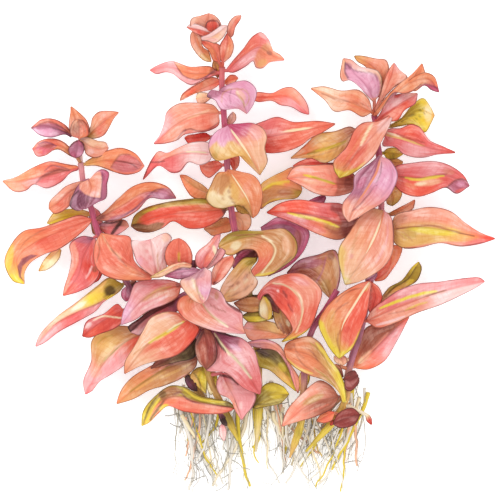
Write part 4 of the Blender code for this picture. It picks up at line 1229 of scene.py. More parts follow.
def centre_shoot() -> Shoot:
    """The tall shoot in the middle."""
    return Shoot.read("centre", """
stem rose magenta magenta mauve magenta mauve olive olive gold yellow cream: 222 67 10.4,222 87 10.6,224 116
11,227 163 11.8,232 214 12,240 255 11,250 300 9.8,257 352 8.4,259 404 6.2,256 452 3.6

centre_leaf_1 coral: large; vein 217 73 10.8,192 74 11.6,170 67 7,150 69.5 .4; left 205 79.5,192 85.5,182
81,174 74.5,166 72,156 73.5; right 210 66.5,190 67,172 61,158 64.5; lift .8 -.6; wash rose pink pink rose /
rose pink pink rose / pink; area orange .95: 174 62,180 64,190 67,205 66,216 68,214 72,205 77,198 80,190
79,184 76,179 70; oval coral .4: 196 71 26 7 0; line maroon: 174 62,178 68,183 75,190 79,198 80,206 77,214
72; oval brown .7: 213 72 8 8 0; line plum 1.6: 205 79,210 74,216 70

centre_leaf_2 rose: large; vein 228 71 11,243 57 13.4,259 48 13.6,271 55 8,284 59 .4; left 232 62,243
49.5,253 36.5,261 32.5,269 40,273 50,280 54; right 234 73,246 67,253 62,256 68,262 68.5,270 62,278 60.5;
lift -.6 -.6; wash rose coral rose rose / rose pink pink pink; area orange .85 3: 262 46,268 42,273 49,281
54,284 59,276 60,268 63,261 69,255 67,254 60,257 52; oval gold: 262 63 12 8 30; oval brown .7: 269 53 7 5
-20; oval tan: 266 48 10 8 0; oval blush: 263 36 12 6 -30; line red 2.4 .4: 230 68,240 58,250 46

centre_leaf_3 mauve: large; vein 219 93 13.4,230 94 17,240 99 19,247 114 15.4; left 223 87.5,238 82,248
82,256.5 91,254 104; right 212 90.5,207 97,215 101,221 110,238 109.5; lift -1.4 -1.4; wash mauve lilac lilac
lilac / mauve lilac lilac pink; area mauve .7 2.5: 206 98,210 92,219 88,226 89,221 96,216 99,211 101; oval
plum .75: 209 98 7 6 0; oval peach: 241 96 14 8 -50; line tan: 222 103,223 95,228 91,238 90,246 92,249
99,246 106; line mauve: 232 90,230 97,231 105; line mauve 1 .4: 227 106,229 109; line cream 1.6: 237 92,240
98,245 106; line tan: 236 94,243 101,244 108

centre_leaf_4 coral: large; vein 218.8 113 10.9,197 115 12.6,176 125 10.4,154 143.5 4.4; left 219 125,208
131.5,195 133,184 135,178 140,165 143.5; right 213 105,195 103,178 104,167 112,164 124,159 136; lift -.6
-.6; wash salmon coral salmon salmon rose / orange salmon salmon pink pink; area rose .6: 182 137,186
130,196 131,208 130,219 123,218 127,208 133,195 134,186 136; line maroon: 184 131,190 129,198 131,208
130,218 123; line plum: 177 140,181 134,186 129; line peach 3 .75: 188 119,198 115,209 110; line coral 2.2:
176 126,190 121,205 117; oval pink: 168 120 10 16 -20

centre_leaf_5 peach: large; vein 213 153 11.2,190 152.5 12.4,166 158.5 9.5,143 179 3.2; left 209 162,200
165.5,189 162.5,180 172,172 173,158 165,150 172; right 209 143,192 142.5,176 149,167 153,159 151,153 157,147
168; lift -.4 -.6; wash blush blush rose rose rose / blush blush salmon rose rose; area rose: 150 163,156
162,164 162,169 158,173 162,178 169,180 172,173 174,165 169,158 166,151 170,144 180,141 178; line cream 1.5
.85: 187 152,196 152,206 153; line rose: 184 154,196 154,208 155; oval salmon: 158 155 9 7 30; line maroon:
150 162,157 162,165 161

centre_leaf_6 mauve: large; vein 228 126 14.2,239 141 18.5,249 156 19.2,260 175 15.5; left 240 124,252
123.5,262 128,267 137,265 148,267.5 162; right 218 130.5,210 140,209 151,215 160.5,224 160.5,236 154.5,247
163.5; lift -1.2 -1.2; wash magenta magenta salmon peach peach gold / lilac lilac gold gold peach; rib cream
1.3 .12 .75; area magenta .6 4: 229 125,240 124,252 124,250 130,246 138,240 137,234 131; area lilac .8 3:
211 141,213 133,221 130,229 130,232 138,228 143,222 149,218 143,213 144; area gold .9 3: 209 150,213 145,217
142,220 147,225 148,228 142,234 142,240 148,244 156,236 155,224 161,215 161; area rose .6: 230 129,235
134,241 144,237 144,232 138; oval olive .4: 214 157 9 7 0; oval pink: 256 134 14 16 0; line orange 1.4: 246
148,253 160,259 171; oval olive .3: 217 151 6 10 0

centre_leaf_7 peach: large; vein 229 171 14.3,239 185 18,248 200 17.6,253 218 13.8; left 241 172,254
176,261.5 187,262 203,258 214; right 218 173,210.5 186,206 199,214 207.5,224 208,236 204,246 210; lift -1
-1; wash orange orange orange orange / orange gold gold tan; rib cream .8 .12 .8; area tan .85 3: 211
192,211 184,216 177,224 174,230 177,231 184,226 188,223 195,218 195,214 190; area cream .7 3: 207 199,210
192,214 191,218 195,223 196,227 188,231 190,231 198,236 204,228 206,222 209,212 206; area olive: 234 204,240
205,247 209,249 214,243 213,238 209; line brown: 231 184,229 192,231 199,235 204; line tan: 226 186,222
194,224 201; line dark_olive 1.6 .7: 243 206,246 210,249 213; oval salmon .4: 245 190 8 26 -30

centre_leaf_8 rose: large; vein 226 209.5 12,195 212 13.2,163 216 11.2,131 226 5; left 222 218,206 227.5,188
228.5,173 221.5,163 228,150 232.5,137 231; right 218 203,203 198.5,180 200,160 203.5,144 208.5,134 216; lift
-.6 .2; wash brown scarlet scarlet scarlet brown / olive olive scarlet scarlet olive / olive; area scarlet
.75 3: 205 203,190 204,172 206,158 209,146 214,140 220,148 223,160 221,170 219,182 226,200 227,214 222,224
214,222 209; area olive: 207 198,190 198,170 201,150 206,136 213,131 223,136 223,140 217,148 212,160 208,175
206,190 204,206 204; area dark_olive: 132 224,138 223,148 225,158 222,165 223,161 229,152 233,140 232,133
228; line gold 1.5 .7: 166 207,182 205,206 204; oval yellow: 150 210 18 3 20; area maroon: 222 210,233
205,232 210,228 215,223 214; line dark_olive: 192 200,175 202,155 205

centre_leaf_9 rose: large; vein 233 135 10.9,265 137 11.4,300 131 12,335 124 8; left 250 126,264 121,277
117,293 122,318 121; right 250 146,265 153,285 152,301 146,310 139,322 133; lift -.5 -.5; wash coral rose
coral coral / coral red coral coral; oval cream .9: 297 130 34 3 8

centre_leaf_10 olive: large; vein 219.5 247 13,236 240 15.4,256 237.5 17.4,273 247 18,270 262 17.4,254 276
15.6; left 222 239,230 233,242 230.5,258 231,272 229.5,285 229,296 240,296.5 254,284 266,268 275.5; right
222 252.5,232 255.5,244 249.5,255 251,258 260,251 271; lift -.8 .5; wash gold olive tan tan tan gold / gold
gold tan orange coral coral / olive; area olive: 220 243,229 234,240 230,258 231,264 234,252 237,238 237,228
240; line brown: 232 236,246 235,260 235; oval cream .85: 236 246 14 9 30; oval peach: 230 251 10 6 10; line
cream 2.4 .95: 262 236,270 241,275 249,273 258,267 266,262 273; oval coral: 259 262 14 9 50; oval peach .75:
286 245 9 20 10; oval orange: 264 250 12 18 -20; line olive 3: 287 230,296 242,296 254,285 265,272 273; oval
tan: 276 236 20 8 -10; line yellow 2.4 .7: 256 275,264 274,274 272; line dark_olive 1.6 .4: 278 270,286
262,292 256

centre_tip coral: small; vein 207 35 12.6,208 24 14,209 14 13; left 194 32,190 25,192 19,200 16.5; right 219
32,221.5 26,219 20,214 15.5; lift .5 .5; wash coral salmon salmon / coral salmon salmon; oval peach .4: 196
20 12 6 20;
small; vein 213 34 15.6,213 27 17,213 20.5 16; left 206 31,206 25,209 21.5; right 219 31,220 25,217 21.5;
lift -.8 -.8; wash coral red coral / coral red coral; line maroon 1.1 .7: 207 30,207 24,212 22,217 23,220
27;
small; vein 212 34 15.8,200 30.5 16.2,187 27.5 12.8; left 206 38.5,198 35.5,191 31; right 206 29,199
25.5,191 24.5; lift -.4 -.4; wash coral red coral / blush blush blush;
small; vein 202 39.5 17,212 37.5 18,220 32.5 17.6,227 26.5 15.6; left 208 35.5,215 31,222 26; right 207
42,215 44.5,222 40,227 32; lift -.4 -.4; wash blush blush blush / blush peach blush; oval pink: 213 41 14 4
0;
small; vein 219 62 13.8,215 52 17,210 46 17.6,202 42.5 16; left 213 61,209 52,204 47.5; right 222 56,221
47,214 43,206 40.5; lift -.4 -.4; wash coral orange coral / coral coral coral; oval red: 204 44 7 4 -30;
line brown: 221 60,220 52,218 46;
small; vein 223 62 13.8,226 52 16.8,228 43 16.8,227 34.5 16; left 220 55,220 46,224 39; right 231 57,234
48,232 40; lift -.4 -.4; wash coral coral red / salmon orange coral; oval red .4: 226 38 5 8 0;
small; vein 229 38 14,231 29 15,235 21 13,241 16 10.6; left 227 30,229 23,235 16.5; right 233.5 36,235.5
28,240 21; lift .4 -.4; wash coral salmon salmon / salmon coral salmon;
small; vein 195 31 12.8,196 42 14,202 52 13.4,211 62 11.6; left 202 38,203 47,209 52; right 190.5 35,191
45,198 56,205 61.5; lift -.4 -.4; wash salmon orange orange gold / orange salmon peach gold; oval gold: 204
58 12 7 -45

centre_small_leaves olive: small; vein 221 81 8.4,202 89 8,180 100 5.6; left 213 89,196 93,186 98; right 212
77,198 83,188 89,182 94; lift -.2 -.2; wash coral coral orange salmon / coral orange coral orange; oval
peach: 183 98 8 5 40;
small; vein 225 83 8.4,231 80 8.6,238 78 7.4; left 230 75,235 75; right 231 86; lift -.1 -.1; wash orange
coral / coral orange;
small; vein 210 97 7.6,203 98 7.8,196 98 6.2; left 205 103,198 103; right 207 93,198 92.5; lift -.1 -.1;
wash peach peach / peach cream;
small; vein 250 97 8,266 97 7.6,288 97 7,309 114 5.2; left 258 92,272 93,283 88,292 87,301 94,308 105; right
258 102,272 101,280 105,291 107,302 113; wash coral coral salmon pink / coral coral pink rose; line coral
2.4: 276 97,290 96,301 104; oval red: 262 98 10 7 0;
small; vein 210 137 7.4,197 138 7.4,184.5 138 5.6; left 205 142,196 142.5,189 144; right 205 132.5,195
134,188 135; lift -.2 -.2; wash coral red red / red red coral;
small; vein 229 125 8.4,232 119 8.8,233 112 8.2; left 227.5 118; right 236 120,236 115; lift -.1 -.1; wash
peach blush / blush peach;
small; vein 222 165 8.4,211 167 8.4,199.5 165 6.8; left 217 172,209 178,202 173; right 217 160.5,209
161.5,203 162.5; lift -.2 -.2; wash red coral coral / coral coral salmon; oval red .4: 214 164 12 4 10;
small; vein 229 157 8.4,234 161 8.6,234 171 7.6; left 239 156,239 165; right 230 164; lift -.1 -.1; wash
coral salmon / red coral;
small; vein 210 194 8.2,195 187 7.6,180 175 5.8; left 203 200,192 197,184 186; right 204 185.5,194 179.5,186
175; lift -.2 -.2; wash tan orange orange / tan tan orange; oval olive .2: 190 184 16 5 -35;
small; vein 232 213 8.2,242 221 8.2,243 232 7.4; left 241 212,250 215,251.5 223,248 230; right 235 222,238
230; lift -.2 -.2; wash orange peach peach orange / orange peach orange;
small; vein 232 222 8.2,218 227 8,204 229 6.4; left 231 231,222 233.5,213 236,207 232; right 226 217,216
221,209 225; lift -.2 -.2; wash tan orange tan / orange tan orange;
small; vein 236 205 8.4,243 209 8.4,251 216 7.4; left 244 203; right 238 212; lift -.1 -.1; wash olive gold
/ gold olive / olive;
small; vein 215 60 9.4,217 68 9.6,218 78 9.2; left 220 66; right 212 66,214 74; lift -.1 -.1; wash tan gold
tan / gold tan tan; line brown: 214 61,216 69,219 76
    """)


# In inner_leaf_1 the small blush dot at 278 291 is a painted highlight; in inner_small_leaves the dark maroon leaf from
# 258 250 to 233 268 stands for shade between the leaves as well as underside colour.
def inner_shoot() -> Shoot:
    """The shoot between the centre and the right, half hidden."""
    return Shoot.read("inner", """
stem magenta magenta mauve mauve gold yellow gold: 337 290 13,326 308 12.6,313 328 12,305 354 11,304 384
9.6,302 418 7.2,290 458 3.4

inner_leaf_1 rose: large; vein 258 303 11.4,262 291 12.8,275 284 14.6,290 288 17,301 303 18,299 322 17.5,282
341.5 14.2; left 257 296,263 287,274 278,292 273,306 275,321.5 290,318 307,310 327,297 337; right 263
296,268 294,276 305,286 317,292 330,286 337; lift -1 .3; wash rose coral coral salmon coral coral yellow /
rose rose red scarlet coral salmon yellow; line cream 1.9 .8: 273 283,284 285,293 290,300 298,302 308,301
318,296 332; line red 5 .8: 282 290,286 298,290 306,293 312; line maroon 2.4: 283 291,287 297; line maroon
2: 288 304,292 311; oval pink: 300 281 24 8 -22; oval salmon: 309 296 10 28 -15; line scarlet 2: 316 290,318
300,314 312,309 324; line yellow 4 .85: 310 328,301 335,292 339,283 342; oval blush .8: 278 291 3 3 0; oval
salmon: 294 318 8 12 -20; line maroon 1 .4: 268 280,262 286,256 294

inner_leaf_2 mauve: large; vein 331 297 10.2,323 280 9.9,308 268 9.4,287 273 8; left 322 291,312 279,301
273.5; right 338 288,340.5 270,335 250,318 254.5,299 260; lift -.4 -.4; wash tan tan brown brown mauve / tan
tan tan brown mauve brown; oval tan .7: 331 276 14 34 0; oval olive .35: 326 286 12 16 0; oval mauve: 312
264 28 9 12; oval brown: 301 266 16 7 20; line mauve 2.2 .75: 334 251,339 262,340 276,336 290; line maroon
1.4: 288 272,297 261,310 258,322 253,333 251; line mauve 2.2: 326 257,322 272,315 284; oval maroon: 331 256
8 9 0

inner_leaf_3 coral: large; vein 369 282 14.2,355 303 18,342 326 18.2,339 358 14; left 369 298,366 314,360
330,352 348,345 354; right 357 284,338 295,324 309,318 323,325 341,333 353; lift -.8 -.8; wash coral scarlet
scarlet coral yellow / coral orange orange gold yellow; rib cream 1.3 .02 .72; area yellow .9 3: 318 318,323
322,327 333,333 344,340 351,346 350,353 343,358 332,361 328,358 339,350 350,341 358,334 356,325 342,318 326;
oval red: 346 329 10 7 20; line scarlet 4: 358 310,353 328,349 345; oval scarlet .4: 360 308 8 14 -20; line
brown: 336 302,344 294,352 290,361 288; line brown: 331 318,337 309,348 302; line brown 1.4: 339 330,337
340,340 352; oval gold: 330 318 9 22 -20; line gold 2.4: 369 284,365 291

inner_small_leaves olive: small; vein 256 259 13.2,244 271 13.2,232 286 12.6,222 298 11.8; left 251 270,258
282,250 294,238 300,228 302; right 244 258,234 268,225 280,220 291; wash yellow peach peach gold / yellow
gold peach peach / olive; line brown: 250 272,241 281,229 287; line tan: 246 266,237 275,226 284; line
brown: 252 284,240 292,228 297; line cream 1.6: 248 279,237 288,227 292; oval olive .7: 251 262 14 6 20;
oval brown: 236 300 16 4 -5;
small; vein 261 229 7.4,282 224 7.8,299 233 7.8,297 252 7.6,268 276 7; left 266 223.5,278 217,298 222,309.5
232,306 247,297 259.5,284 269.5; right 272 232,284 234,291 241,289 255; lift -.2 -.2; wash mauve magenta
mauve magenta mauve / mauve plum mauve plum mauve / plum; oval brown: 298 238 9 20 0; oval plum .4: 288 224
20 6 -20; line magenta 2: 308 234,304 248,294 260,278 272;
small; vein 258 250 12.5,247 255 12.5,233 268 11.9; left 256 262,247 260,240 265; right 252 248,241 251,234
259; lift -.2 -.2; wash maroon maroon mauve / maroon magenta mauve / plum; oval maroon .8: 253 254 9 9 0;
small; vein 266 306 11.9,250 306 11.9,234 303 11; left 256 312,242 311; right 258 297,246 297; lift -.1 -.1;
wash gold tan brown / brown tan brown / olive;
small; vein 273 317 11.3,258 316 11.4,242 316 10.8; left 258 322,248 321.5; right 262 310.5,250 311; lift
-.1 -.1; wash olive yellow olive / dark_olive olive dark_olive / olive; line dark_olive 2: 246 313,256
312,268 315;
small; vein 264 297 12.4,268 310 12.6,268 320 12; left 271 304,272 316; right 259 304,260 316; lift -.1 -.1;
wash yellow gold yellow / gold cream gold / olive;
small; vein 262 296 12,270 300 12.2,279 313 11.6; left 271 294,278 303; right 264 302,271 310; lift -.1 -.1;
wash dark_olive maroon brown / ink maroon brown / plum;
small; vein 280 306 11.5,283 320 11.6,291 336 10.8; left 288 312,292 326; right 273 309,276 325,284 336;
lift -.2 -.2; wash tan tan brown / olive tan brown; oval cream .8: 288 323 4 8 20; line maroon 2: 279
322,284 332;
small; vein 288 336 11,266 331 11.1,243 328 10.4; left 272 339,250 340; right 280 325,264 320,249 320; lift
-.2 -.2; wash orange orange salmon salmon / orange gold tan pink; oval pink: 250 327 8 7 0; line tan: 262
323,270 331,283 336;
small; vein 248 343.5 11,269 344 11.4,285 357 11,293 372 9.6,298 393 8; left 264 339,279 344.5,290 363,300
380; right 262 348.5,276 351,287 366,293 383; lift -.2 -.2; wash pink salmon salmon salmon / mauve salmon
pink salmon; line lilac 2.5: 252 341,264 340,276 343;
small; vein 256 351 10.6,270 359 10.8,283 371 9.4,296 391 7.4; left 270 348,283 355,292 372; right 258
366,269 370,281 380; wash ink dark_olive olive yellow / olive olive gold yellow / olive; oval ink .7: 263
354 14 9 -20; oval yellow: 282 367 12 8 -50; oval olive: 272 362 14 5 -40; oval gold .7: 288 379 9 5 -55;
small; vein 254 407 9.6,268 396 10,289 394 8.6; left 256 395,268 382.5,283 386; right 267 406.5,281 403;
lift -.2 -.2; wash dark_olive olive yellow / olive olive olive / olive; oval yellow: 270 388 16 7 -10; oval
yellow: 276 396 14 6 0; line dark_olive 2: 256 404,268 404,282 401;
small; vein 303 371 9.4,303 381 8.8,298 391 8; left 310 376,307 386; right 299 376,298 384; lift -.1 -.1;
wash gold yellow gold / yellow gold yellow / olive
    """)


